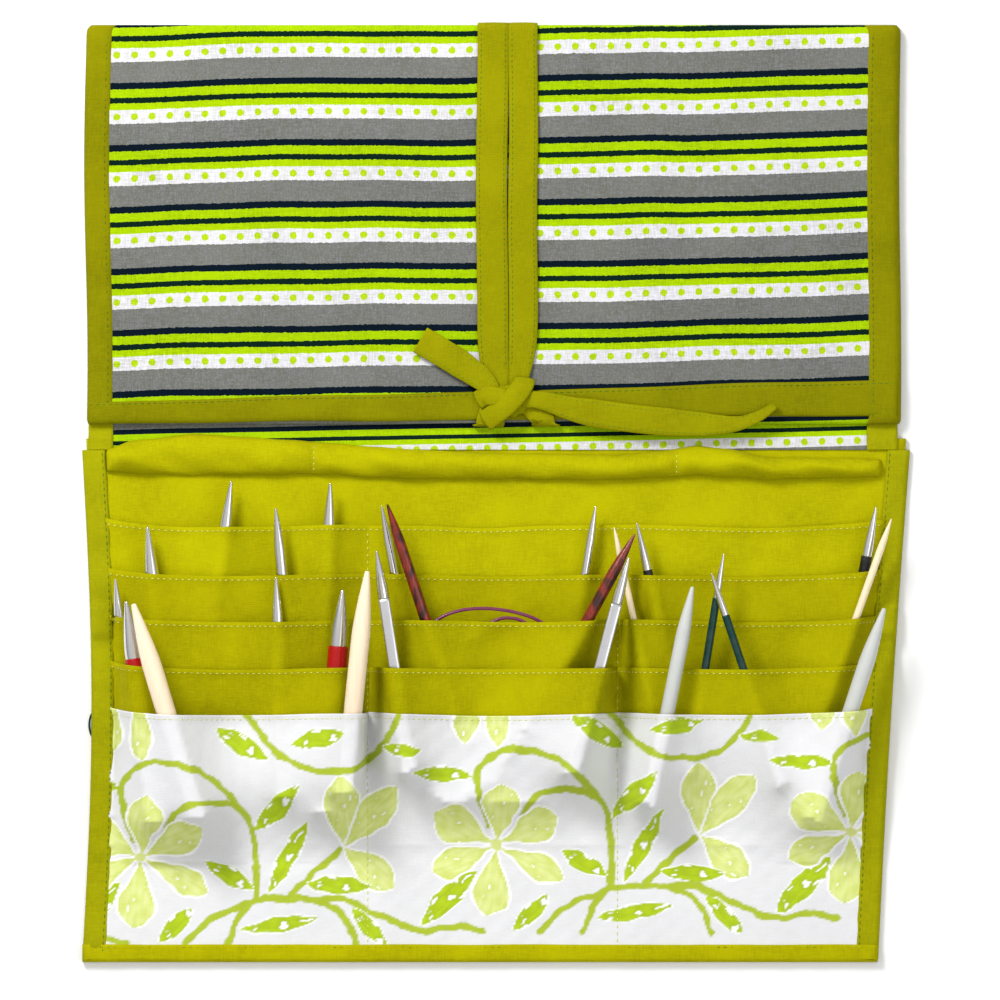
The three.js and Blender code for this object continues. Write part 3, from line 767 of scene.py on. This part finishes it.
# ---------- the floral print ----------
PRINT_REPEAT = (145.1, 5.1)
PRINT_TURNS = (-1, 0, 1, 2)
INKS = (  # the ground, leaves, vines, petals, the petals' shade and the lines
    (226, 226, 226), (168, 192, 30), (174, 192, 52), (224, 232, 152), (204, 216, 106), (250, 250, 249),
)
VINES = (
    ((-148, 51), (-153, 67), (-151, 76), (-142, 82), (-132, 82), (-121, 79), (-113, 73), (-104, 63),
     (-100, 56), (-98, 43), (-98, 26)),
    ((-134, 55), (-130, 62), (-121, 66), (-109, 65), (-104, 63)),
    ((-127, 8), (-116, 18), (-104, 23), (-95, 26), (-86, 26), (-75, 26), (-63, 26), (-52, 21),
     (-40, 16), (-30, 13), (-17, 15), (-6, 13)),
    ((-110, 7), (-104, 20), (-98, 26)),
    ((-84, 28), (-75, 36), (-64, 46)),
    ((-73, 25), (-63, 20), (-57, 7)),
    ((-102, 102), (-90, 87), (-78, 80), (-69, 79), (-57, 80), (-46, 89), (-39, 103)),
)
LEAVES = (  # a leaf's two ends and its width
    ((-114, 96), (-93, 83), 8), ((-83, 90), (-61, 94), 7), ((-46, 88), (-30, 87), 5),
    ((-98, 54), (-80, 73), 8), ((-93, 28), (-77, 58), 7), ((-119, 41), (-99, 30), 7),
    ((-78, 32), (-51, 31), 7), ((-138, 8), (-124, 22), 7), ((-104, 13), (-73, 18), 6),
    ((-59, 22), (-45, 7), 7), ((-31, 15), (-8, 38), 9), ((-34, 78), (-8, 77), 6),
)
# A flower's centre, then each petal's end from it and its width
FLOWER = ((-145, 43), ((3, 25, 15), (25, 12, 14), (27, -14, 11), (-3, -29, 15), (-26, -11, 12),
                       (-25, 13, 16)))
LILY = ((-62, 47), ((-1, 30, 14), (22, 25, 13), (20, -17, 13)))
HANGING = (((-156, 106), (-158, 85), 10), ((-145, 107), (-144, 83), 9))


def petal_field(x, y, start, end, width, belly):
    """How far inside a petal each point is, below 0 outside it, and its streaks. It is widest at belly."""
    (ax, ay), (bx, by) = start, end
    length = math.hypot(bx - ax, by - ay)
    ux, uy = (bx - ax) / length, (by - ay) / length
    t = ((x - ax) * ux + (y - ay) * uy) / length
    aside = (x - ax) * uy - (y - ay) * ux
    streaks = 0.62 * ripple(t * length * 0.45, aside * 1.7, 4.2, 65) + 0.5 * ripple(t * length, aside, 9, 66)
    power = math.log(0.5) / math.log(belly)
    profile = np.sin(np.pi * unit(t) ** power) ** 0.8 * width / 2
    return np.where((t > 0) & (t < 1), profile - np.abs(aside), -9.0), streaks


def vine_field(x, y, points, width):
    best = np.full(x.shape, 1e9)
    path = smooth_path(points, 3 * len(points) + 6)
    for (ax, ay), (bx, by) in zip(path, path[1:]):
        dx, dy = bx - ax, by - ay
        t = unit(((x - ax) * dx + (y - ay) * dy) / (dx * dx + dy * dy))
        best = np.minimum(best, np.hypot(x - ax - t * dx, y - ay - t * dy))
    return width / 2 - best + 0.25 * ripple(x, y, 5, 67), 0.4 * ripple(x, y, 8, 68)


def paint_print(x, y):
    """The print's colour at each point: vines, leaves, pale flowers and the white lines round them."""
    white, leaf_green, vine_green, pale, pale_dark, line = [np.array(srgb(*ink))[:3] for ink in INKS]
    wx = x + 0.5 * ripple(x, y, 9, 61)
    wy = y + 0.5 * ripple(x, y, 8, 62)
    colour = np.repeat(white[None], x.size, 0).reshape(*x.shape, 3)

    def cover(share, ink):
        nonlocal colour
        share = share[..., None]
        colour = colour * (1 - share) + ink * share

    def lay(shape, light, dark, outline=0.0, flecks=9.0, edge=0.0):
        field, streaks = shape
        if outline:
            cover(unit((field + outline) / 0.35), line)
        rim = np.exp(-((field / 0.9) ** 2)) * edge
        wash = unit(0.4 + 0.5 * streaks + rim)[..., None]
        cover(unit(field / 0.3 + 0.5), light * (1 - wash) + dark * wash)
        cover(unit((streaks - flecks) / 0.12) * (field > 0), line)

    def lay_petal(start, end, width, belly, flecks=0.85):
        lay(petal_field(sx, sy, start, end, width, belly), pale, pale_dark, 1.1, flecks, 0.5)

    for turn in PRINT_TURNS:
        sx, sy = wx - PRINT_REPEAT[0] * turn, wy - PRINT_REPEAT[1] * turn
        for points in VINES:
            lay(vine_field(sx, sy, points, 2.7), vine_green, vine_green * 0.92)
        (cx, cy), petals = FLOWER
        for dx, dy, width in petals:
            lay_petal((cx, cy), (cx + dx, cy + dy), width, 0.7, 0.92)
        lay((2.2 - np.hypot(sx - cx, sy - cy), 0 * sx), pale, pale_dark)
        (cx, cy), petals = LILY
        for dx, dy, width in petals:
            lay_petal((cx, cy), (cx + dx, cy + dy), width, 0.62)
        for start, end, width in HANGING:
            lay_petal(start, end, width, 0.6)
        for start, end, width in LEAVES:
            lay(petal_field(sx, sy, start, end, width, 0.5), leaf_green * 1.15, leaf_green * 0.85, 0.6, 0.55)
    return colour


def refine(grid, rows_to, columns_to):
    """A grid of values brought to a finer one by straight lines between its own."""
    rows, columns = grid.shape
    across = np.linspace(0, columns - 1, columns_to)
    wide = np.stack([np.interp(across, np.arange(columns), r) for r in grid])
    down = np.linspace(0, rows - 1, rows_to)
    return np.stack([np.interp(down, np.arange(rows), c) for c in wide.T], 1)


def make_floral(x, y, top, under):
    rows, columns = 3 * x.shape[0], 2 * COLUMNS + 1
    fine = [refine(grid, rows, columns) for grid in (x, y, top, under)]
    piece = double_sheet("floral_cloth_printed", *fine, ["floral_cotton"])
    ink = np.ones((2, rows, columns, 4), np.float32)
    ink[..., :3] = paint_print(fine[0], fine[1])[None]
    layer = piece.data.color_attributes.new("print", "FLOAT_COLOR", "POINT")
    layer.data.foreach_set("color", ink.ravel())
    stand_in(piece, None, "floral_cloth", "floral_cloth", "floral_strip")
    bend_low(piece)


# ---------- stitches ----------
# Each kind's pitch and length, and where it isn't the usual thread, its half width and height
POCKET_STITCH = (2.6, 1.8)
SEAM_STITCH = (2.8, 2.0)
BINDING_STITCH = (2.8, 1.9)
FLAP_STITCH = (2.4, 1.7)
RIBBON_STITCH = (2.2, 1.5, 0.2, 0.16)


class Stitching:
    """Collects stitches, each a small raised grain of thread, and makes them one mesh."""

    def __init__(self):
        self.points, self.faces = [], []

    def run(self, path, pitch, grain, wide=0.24, high=0.2):
        """Stitches of length grain along a path of points on the cloth, every pitch mm."""
        path = np.asarray(path, float)
        along = distances(path)
        up = np.array([0, 0, 1.0])
        for start in np.arange(0.3, along[-1] - grain, pitch):
            ends = (start, start + grain)
            a, b = [np.array([np.interp(end, along, column) for column in path.T]) for end in ends]
            ahead = (b - a) / (np.linalg.norm(b - a) + 1e-9)
            side = np.cross(up, ahead)
            side /= np.linalg.norm(side) + 1e-9
            middle = (a + b) / 2
            n = len(self.points)
            self.points += [a - up * 0.06, b - up * 0.06]
            self.points += [middle + side * wide, middle + up * high, middle - side * wide, middle - up * 0.1]
            ring = (n + 2, n + 3, n + 4, n + 5)
            for p, q in zip(ring, ring[1:] + ring[:1]):
                self.faces += [(n + 1, p, q), (n, q, p)]

    def make(self, name, look):
        return make_piece(name, self.points, self.faces, [look])


# ---------- leaf, bindings and hem ----------
TOP_ROWS = 180  # the y where the leaf's rows go on above the pockets'
LOOP_Y = 97


def edge_strip(name, inner, outer, y, tops, look, dome=0.5):
    """A binding wrapped round an edge: inner and outer are its two long edges, tops its height along them."""
    u = np.array([0.0, 0.04, 0.12, 0.25, 0.42, 0.6, 0.78, 0.92, 1.0])[None, :]
    x = outer[:, None] + (inner - outer)[:, None] * u
    grid_y = np.repeat(y[:, None], u.shape[1], 1)
    curve = rounded(u / 0.2)
    fall = 1 - 0.25 * unit((u - 0.85) / 0.15) ** 2
    puckers = 0.12 * ripple(x, grid_y, 11, len(name))
    top = 1.0 + (tops[:, None] + dome - 1.0) * curve * fall + puckers * curve
    under = np.minimum(0.9 - 0.85 * curve, top - 0.05)
    if (inner - outer)[0] < 0:
        x, grid_y, top, under = x[:, ::-1], grid_y[:, ::-1], top[:, ::-1], under[:, ::-1]
    return double_sheet(name, x, grid_y, top, under, [look])


def make_leaf(floor):
    """The leaf with its bindings and hem, floor being how high the pockets reach. Returns the bindings' rows
    and their heights."""
    y = np.concatenate([[2.0], ROWS[1:], np.linspace(TOP_ROWS, LEAF_TOP, 18)])
    u = np.linspace(0, 1, 60)[None, :]
    rows = np.repeat(y[:, None], 60, 1)
    x = left_edge(rows) + 2 + (right_edge(rows) - left_edge(rows) - 4) * u
    soft = 0.25 * ripple(x, rows, 40, 3) + 0.12 * ripple(x, rows, 13, 4)
    loose = unit((rows - 179) / 8)
    top = CLOTH - 0.3 + soft * loose * unit((212 - rows) / 6)
    under = 0.12 + 0.1 * ripple(x, rows, 30, 5)
    leaf = double_sheet("leaf_panel", x, rows, top, under, ["green_cotton", "striped_cotton"])
    stand_in(leaf, None, "striped_cloth", "leaf_cloth", "strip_cloth")
    bend_low(leaf)
    length = np.concatenate([ROWS, np.linspace(TOP_ROWS, SIDE_TOP, 14)])
    length[0] = 1.0
    levels = np.concatenate([np.maximum(floor[:, 1], floor[:, -2]), np.full(14, CLOTH + 0.4)])
    levels = np.convolve(np.pad(levels, 3, mode="edge"), np.ones(7) / 7, mode="valid")
    for side, edge, inward in (("left", left_edge, 1), ("right", right_edge, -1)):
        outer = edge(length)
        inner = outer + inward * BINDING
        strip = edge_strip("binding_" + side, inner, outer, length, levels, "binding_cotton")
        stand_in(strip, None, "binding_cloth", "leaf_binding_" + side, "strip_binding_" + side)
        bend_low(strip)
    make_hem(floor)
    return length, levels


def make_hem(floor):
    v = np.array([0.0, 0.04, 0.12, 0.25, 0.45, 0.65, 0.85, 1.0])
    level = float(floor[1, 1:-1].max())
    u = np.linspace(0, 1, 120)
    x = left_edge(0) + 0.2 + (right_edge(0) - left_edge(0) - 0.4) * u
    grid_x, grid_v = np.meshgrid(x, v)
    curve = rounded(grid_v / 0.2)
    y = grid_v * HEM + 0.2 * ripple(grid_x, 0 * grid_x, 60, 9) * grid_v
    top = 1.0 + (level + 0.35 - 1.0) * curve + 0.12 * ripple(grid_x, y, 10, 12) * curve
    under = 0.9 - 0.85 * curve
    hem = double_sheet("bottom_hem", grid_x, y, top, under, ["green_cotton"])
    stand_in(hem, "bottom_strip", "green_quilting_cloth", "bottom_binding")


def make_leaf_stitches(surfaces, length, levels):
    """The stitches along the pockets' edges, the seams and the bindings, and the loop at the left side."""
    pale, dark = Stitching(), Stitching()
    for tier, cloth in enumerate(surfaces, 1):
        row = len(cloth.y) - 2
        pale.run(np.stack([cloth.x[row], cloth.y[row], cloth.top[row] + 0.08], 1), *POCKET_STITCH)
        low = TIER_EDGES[tier] + 0.5 if tier < 5 else HEM + 0.5
        for seam in SEAMS:
            steps = np.arange(low, TIER_EDGES[tier - 1] - 1, 0.8)
            pale.run([(seam, y, cloth.height(seam, y) + 0.1) for y in steps], *SEAM_STITCH)
    for edge, inward in ((left_edge, 1), (right_edge, -1)):
        inner = edge(length) + inward * (BINDING - 1.3)
        dark.run(np.stack([inner, length, levels + 0.52], 1), *BINDING_STITCH)
    u = np.linspace(left_edge(0) + 4, right_edge(0) - 4, 200)
    dark.run([(x, HEM - 1.1, levels[0] + 0.45) for x in u], *BINDING_STITCH)
    bend_low(pale.make("pocket_stitches", "pale_thread"))
    bend_low(dark.make("edge_stitches", "green_thread"))
    turns = np.linspace(-0.5, 0.5, 16) * math.pi * 1.1
    loop = [(left_edge(LOOP_Y) + 2.4 - 4.6 * math.cos(t) * 0.7, LOOP_Y + 6 * math.sin(t), 1.6) for t in turns]
    round_section = [(0.45 * math.cos(a), 0.45 * math.sin(a)) for a in np.arange(8) * math.pi / 4]
    tie = swept("tie_loop", loop, [(0, 0, 1)] * len(loop), round_section, "green_lacquer")
    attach(tie, "pocket_leaf")


# ---------- tip flap and gusset ----------
FLAP_LEFT, FLAP_RIGHT = -159, 157
FLAP_SEAMS = (-74, 74)
FLAP_UNDER, FLAP_BASE, FLAP_BULGE = 2.75, 3.0, 5.6
FLAP_TOP = ((-159, 209.5), (-150, 213), (-124, 216), (-100, 214.5), (-75, 213), (-40, 209.8), (-6, 208.2),
            (25, 207.6), (50, 207.3), (66, 208.8), (82, 211), (96, 209.5), (112, 206.4), (140, 206),
            (157, 205.4))
FLAP_LOW = ((-159, 200.4), (-124, 199.0), (-75, 199.6), (-40, 197.6), (0, 197.4), (50, 197.2), (82, 199),
            (112, 197.2), (157, 198.4))


def make_flap():
    """The flap rolled up over the tips, bulging between its two seams."""
    u = np.linspace(FLAP_LEFT, FLAP_RIGHT, 240)
    x, across = np.meshgrid(u, np.linspace(0, 1, 26))
    high = np.interp(x, *zip(*FLAP_TOP)) + 0.25 * ripple(x, 0 * x, 17, 71)
    low = np.interp(x, *zip(*FLAP_LOW)) + 0.25 * ripple(x, 0 * x, 15, 72)
    y = low + (high - low) * across
    bulge = np.sin(np.pi * across) ** 0.55
    ends = unit((x - FLAP_LEFT) / 6) * unit((FLAP_RIGHT - x) / 6)
    pucker = 0.8 * ripple(x + 1.5 * y, y - 0.4 * x, 42, 73) + 0.35 * ripple(x - y, y * 0.7, 19, 74)
    dents = sum(np.exp(-(((x - seam) / 2.2) ** 2)) for seam in FLAP_SEAMS) * 1.1
    top = FLAP_BASE + bulge * (FLAP_BULGE + 1.5 * pucker - 1.6 * dents) * (0.35 + 0.65 * np.sqrt(ends))
    flap = double_sheet("flap_roll", x, y, top, np.minimum(FLAP_UNDER, top - 0.1), ["green_cotton"])
    stand_in(flap, "tip_flap_body", "green_quilting_cloth", "tip_flap")
    lines = Stitching()
    for seam in FLAP_SEAMS:
        line = np.stack([x, y, top + 0.08], -1)[2:-2, int(np.argmin(np.abs(u - seam)))]
        lines.run(line, *FLAP_STITCH)
    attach(lines.make("flap_stitches", "pale_thread"), "tip_flap_body")


GUSSET_LOW, GUSSET_HIGH = 209.4, 222


def make_gusset():
    """The strip of cloth that joins the leaf to the cover, with its bound ends, which are thicker."""
    for name, low, high, look, slot, thicker in (
        ("gusset_cloth", -158.5, 153.5, "folded_striped_cotton", "striped_cloth", 0.0),
        ("gusset_end_left", -166.5, -156.5, "binding_cotton", "binding_cloth", 0.5),
        ("gusset_end_right", 151.5, 164.0, "binding_cotton", "binding_cloth", 0.5),
    ):
        u = np.linspace(low, high, max(8, round((high - low) / 3.4)))
        x, y = np.meshgrid(u, np.linspace(GUSSET_LOW, GUSSET_HIGH, 36))
        top = 2.0 + 0.72 * unit((217 - y) / 3) + 0.1 * ripple(x, y, 12, 81) + thicker
        strip = double_sheet(name, x, y, top, top - 1.1 - thicker, [look])
        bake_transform(strip)
        stand_in(strip, None, slot, *(["spine_gusset"] if name == "gusset_cloth" else []))


# ---------- cover ----------
COVER_MIDDLE = (COVER_TOP + COVER_UNDER) / 2
COVER_INSET = 5  # how far the cover's panel stops short of the bindings' outer edges
FRONT_STRIPES_END = 224.5


def cover_side(y, side):
    """The cover's outer edge at each y, very slightly bowed as the cloth is."""
    bow = 0.7 * np.sin(np.pi * (y - COVER_FRONT) / (COVER_END - COVER_FRONT) * 2 + 0.6)
    corner = 1.7 * unit((y - COVER_END + 4) / 4) ** 3 + 0.8 * unit((COVER_FRONT + 3 - y) / 3) ** 3
    return COVER_LEFT + 0.8 + bow + corner if side == "left" else COVER_RIGHT - 0.8 + bow * 0.6 - corner


def cover_top(x, y):
    """The cover's upper face: padded, with rounded ends and shallow puckers."""
    curve = rounded(unit((y - COVER_FRONT) / 5)) * rounded(unit((COVER_END - y) / 7))
    soft = 0.28 * ripple(x, y, 55, 91) + 0.16 * ripple(x, y, 17, 92)
    return COVER_MIDDLE + (COVER_TOP - 0.55 - COVER_MIDDLE + soft) * curve


def make_cover():
    """The padded cover with its bindings, and the stitches on them. The rows at its front edge carry on the
    gusset's stripes."""
    y = np.concatenate([
        COVER_FRONT + 5 * (1 - np.cos(np.linspace(0, np.pi / 2, 7))),
        np.linspace(COVER_FRONT + 7, COVER_END - 9, 70),
        COVER_END - 7 * (1 - np.cos(np.linspace(np.pi / 2, 0, 10))),
    ])
    u = np.linspace(0, 1, 130)
    rows = np.repeat(y[:, None], len(u), 1)
    low, high = cover_side(rows, "left") + COVER_INSET, cover_side(rows, "right") - COVER_INSET
    x = low + (high - low) * u
    top = cover_top(x, rows)
    under = np.maximum(2 * COVER_MIDDLE - top + 0.4 + 0.15 * ripple(x, rows, 30, 93), COVER_UNDER)
    under = np.minimum(under, top - 0.1)
    cover = double_sheet("cover_panel", x, rows, top, under, ["striped_cotton", "folded_striped_cotton"])
    which = np.zeros(len(cover.data.polygons), np.int32)
    which[: (np.sum(y < FRONT_STRIPES_END) - 1) * (len(u) - 1)] = 1
    cover.data.polygons.foreach_set("material_index", which)
    stand_in(cover, "cover", "striped_cloth", "cover_cloth")
    stitches = Stitching()
    for side, width, inward in (("left", 11.0, 1), ("right", 14.0, -1)):
        outer = cover_side(y, side)
        inner = outer + inward * width
        levels = cover_top(inner, y) + 0.15
        strip = edge_strip("cover_edge_" + side, inner, outer, y, levels, "cover_binding_cotton", 0.55)
        stand_in(strip, "cover", "binding_cloth", "cover_binding_" + side)
        line = np.stack([outer + inward * (width - 2.4), y, levels + 0.6], 1)
        stitches.run(line[4:-5], *BINDING_STITCH)
    make_cross_band(stitches)
    return stitches


def make_cross_band(stitches):
    """The binding across the cover, at its front edge, wider to the right."""
    across, up = np.meshgrid(np.linspace(0, 1, 150), [0.0, 0.06, 0.2, 0.4, 0.6, 0.8, 0.94, 1.0])
    x = COVER_LEFT + 2 + (COVER_RIGHT - COVER_LEFT - 4) * across
    low = COVER_FRONT + 3.4 * across + 0.3 * ripple(x, 0 * x, 70, 95)
    y = low + (8.8 + 6.0 * across) * up
    edge = np.minimum(np.minimum(up, 1 - up) / 0.06, 1)
    top = cover_top(x, y) + 0.85 - 0.5 * (1 - edge) + 0.12 * ripple(x, y, 9, 96)
    band = double_sheet("cross_band", x, y, top, top - 0.75, ["cover_binding_cotton"])
    stand_in(band, "cover", "binding_cloth")
    stitches.run(np.stack([x[6], y[6] - 0.5, top[6] + 0.1], 1), *POCKET_STITCH)


# ---------- ribbon ----------
KNOT = (5.2, 229.5, 8.6)
BAND_LOW, BAND_HIGH = 219.3, 383.5
BAND_BOTTOM, BAND_TOP = 0.75, COVER_TOP + 0.75
BAND_TURN = 3  # how far from the cover's edges the ribbon starts to turn over them
RIBBON_ENDS = (  # each end's name, its route and its width along it, as a share of END_WIDTH
    ("short", ((-1, 231.5, 9.6), (-5, 237.5, 9.4), (-14, 244, 8.3), (-22, 249, 8.5), (-31, 254.3, 8.4)),
     (0.62, 0.86, 1, 1, 1)),
    ("long", ((9.5, 229.5, 9.8), (18, 229.6, 9.6), (34, 225.4, 8.6), (58, 221.9, 8.4), (84, 219.8, 8.5),
              (98, 220, 8.8), (107, 223, 9.6), (114, 227.5, 10.8)), (0.5, 0.74, 1, 1, 1, 0.82, 0.5, 0.36)),
)
END_WIDTH = 11.0


def band_loop(middle):
    """A ribbon's path once round the cover and its upward directions: above, far edge, below, near edge."""
    run = np.linspace(BAND_LOW + BAND_TURN, BAND_HIGH - BAND_TURN, 60)
    turn = np.radians(np.linspace(80, -80, 9))
    out, up = np.cos(turn), np.sin(turn)
    flat, rise = np.zeros(len(run)), (BAND_TOP + BAND_BOTTOM) / 2 + 3.15 * up
    far, near = BAND_HIGH - BAND_TURN * (1 - out), BAND_LOW + BAND_TURN * (1 - out)
    y = np.concatenate([run, far, run[::-1], near])
    z = np.concatenate([flat + BAND_TOP, rise, flat + BAND_BOTTOM, rise[::-1]])
    up_y = np.concatenate([flat, out, flat, -out])
    up_z = np.concatenate([flat + 1, up, flat - 1, up[::-1]])
    return np.stack([0 * y + middle, y, z], 1), np.stack([0 * y, up_y, up_z], 1)


def make_ribbon(stitches):
    """The two strands round the cover, which draw together and part again at the knot, and the two ends."""
    for side, middle, width, drawn, splayed in (
        ("left", -1.5, 12.3, 0.18, -1.5), ("right", 11.0, 11.4, 0.4, 9.5)
    ):
        spots, ups = band_loop(middle)
        near = np.exp(-(((spots[:, 1] - 232) / 14) ** 2)) * (spots[:, 2] > 4)
        spots[:, 0] += 0.35 * ripple(spots[:, 1], 0 * spots[:, 1], 90, len(side))
        spots[:, 0] -= near * (middle - KNOT[0]) * 0.3
        spots[:, 0] += unit((231 - spots[:, 1]) / 9) * splayed
        spots[:, 2] += near * 0.5
        scale = 1 - near * drawn
        band = swept("ribbon_" + side, spots, ups, flat_section(width, 0.7), "ribbon_cotton", True, scale)
        stand_in(band, "cover", "ribbon", "ribbon_band_" + side)
        upper = (spots[:, 2] > 6.5) & (spots[:, 1] > 243)
        for edge in (-1, 1):
            line = spots[upper] + np.array([0, 0, 0.48])
            line[:, 0] += edge * (width / 2 - 1.2) * scale[upper]
            stitches.run(line[np.argsort(line[:, 1])], *RIBBON_STITCH)
    make_knot()
    along = np.linspace(0, 1, 60)
    for name, route, widths in RIBBON_ENDS:
        path = smooth_path(route, len(along))
        scale = np.interp(along, np.linspace(0, 1, len(widths)), widths)
        twist = unit((along - 0.8) / 0.2) * (0.9 if name == "long" else 0.0)
        ups = np.stack([0 * along, np.sin(twist), np.cos(twist)], 1)
        section = flat_section(END_WIDTH, 0.75, 0.35)
        tape = swept("ribbon_end_" + name, path, ups, section, "ribbon_cotton", False, scale)
        stand_in(tape, "cover", "ribbon", "ribbon_%s_end" % name)
        side = direction(np.cross(np.gradient(path, axis=0), ups))
        for edge in (-1, 1):
            line = path + side * (edge * (END_WIDTH / 2 - 1.3) * scale)[:, None] + ups * 0.5
            stitches.run(line[6:54], *RIBBON_STITCH)


def make_knot():
    """The knot: a core of gathered ribbon with two wraps drawn diagonally over it."""
    turns, rings = 48, 26
    points = []
    for lat in np.linspace(-0.5, 0.5, rings + 1) * math.pi:
        for k in range(turns):
            lon = 2 * math.pi * k / turns
            x, y, z = math.cos(lat) * math.cos(lon), math.cos(lat) * math.sin(lon), math.sin(lat)
            fold = 1 + 0.07 * math.sin(11 * x + 7 * y) + 0.05 * math.sin(17 * y - 5 * x + 1)
            points.append((KNOT[0] + 9.4 * x * fold, KNOT[1] + 6.4 * y * fold, KNOT[2] + 2.4 * z * fold))
    core = make_piece("knot_core", points, tube_faces(rings + 1, turns, capped=False), ["ribbon_cotton"])
    stand_in(core, "cover", "ribbon", "ribbon_knot")
    wraps = (
        ((-7.5, 229.5, 8), (-4, 231.3, 10.2), (1, 231, 11.2), (6, 229.4, 10.9), (9.5, 228, 9.4)),
        ((-4.5, 221, 8), (-1, 223.6, 10.4), (3.5, 227, 12), (8, 231.5, 12.2), (11, 236, 10.2),
         (11.6, 238.4, 8.2)),
    )
    for number, route in enumerate(wraps, 1):
        section = flat_section(6.2 + number, 0.8, 0.8, 11)
        ups = [(0.0, 0.1, 1.0)] * 30
        wrap = swept("knot_wrap_%d" % number, smooth_path(route, 30), ups, section, "ribbon_cotton")
        stand_in(wrap, "cover", "ribbon")


# ---------- floor ----------
FLOOR, FLOOR_LEVEL = 9000, -0.3


def make_floor():
    shader = Shader("pale_floor")
    cloudy = shader.remap(shader.noise(3.0, 2.0), 0.3, 0.7)
    shader.finish(shader.mix(cloudy, srgb(246, 246, 248), srgb(251, 251, 252)), 0.9)
    corners = [(FLOOR * a, FLOOR * b, FLOOR_LEVEL) for a, b in ((-1, -1), (1, -1), (1, 1), (-1, 1))]
    make_piece("floor", corners, [(0, 1, 2, 3)], ["pale_floor"])


make_materials()
make_camera()
make_light()
make_floor()
tips = find_needles()
for tip in tips:
    make_needle(tip)
cable_route = make_cable(tips)
cloths, top_levels = make_pockets(tips, cable_route)
make_leaf_stitches(cloths, *make_leaf(top_levels))
make_flap()
make_gusset()
cover_stitches = make_cover()
make_ribbon(cover_stitches)
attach(cover_stitches.make("cover_stitches", "green_thread"), "cover")
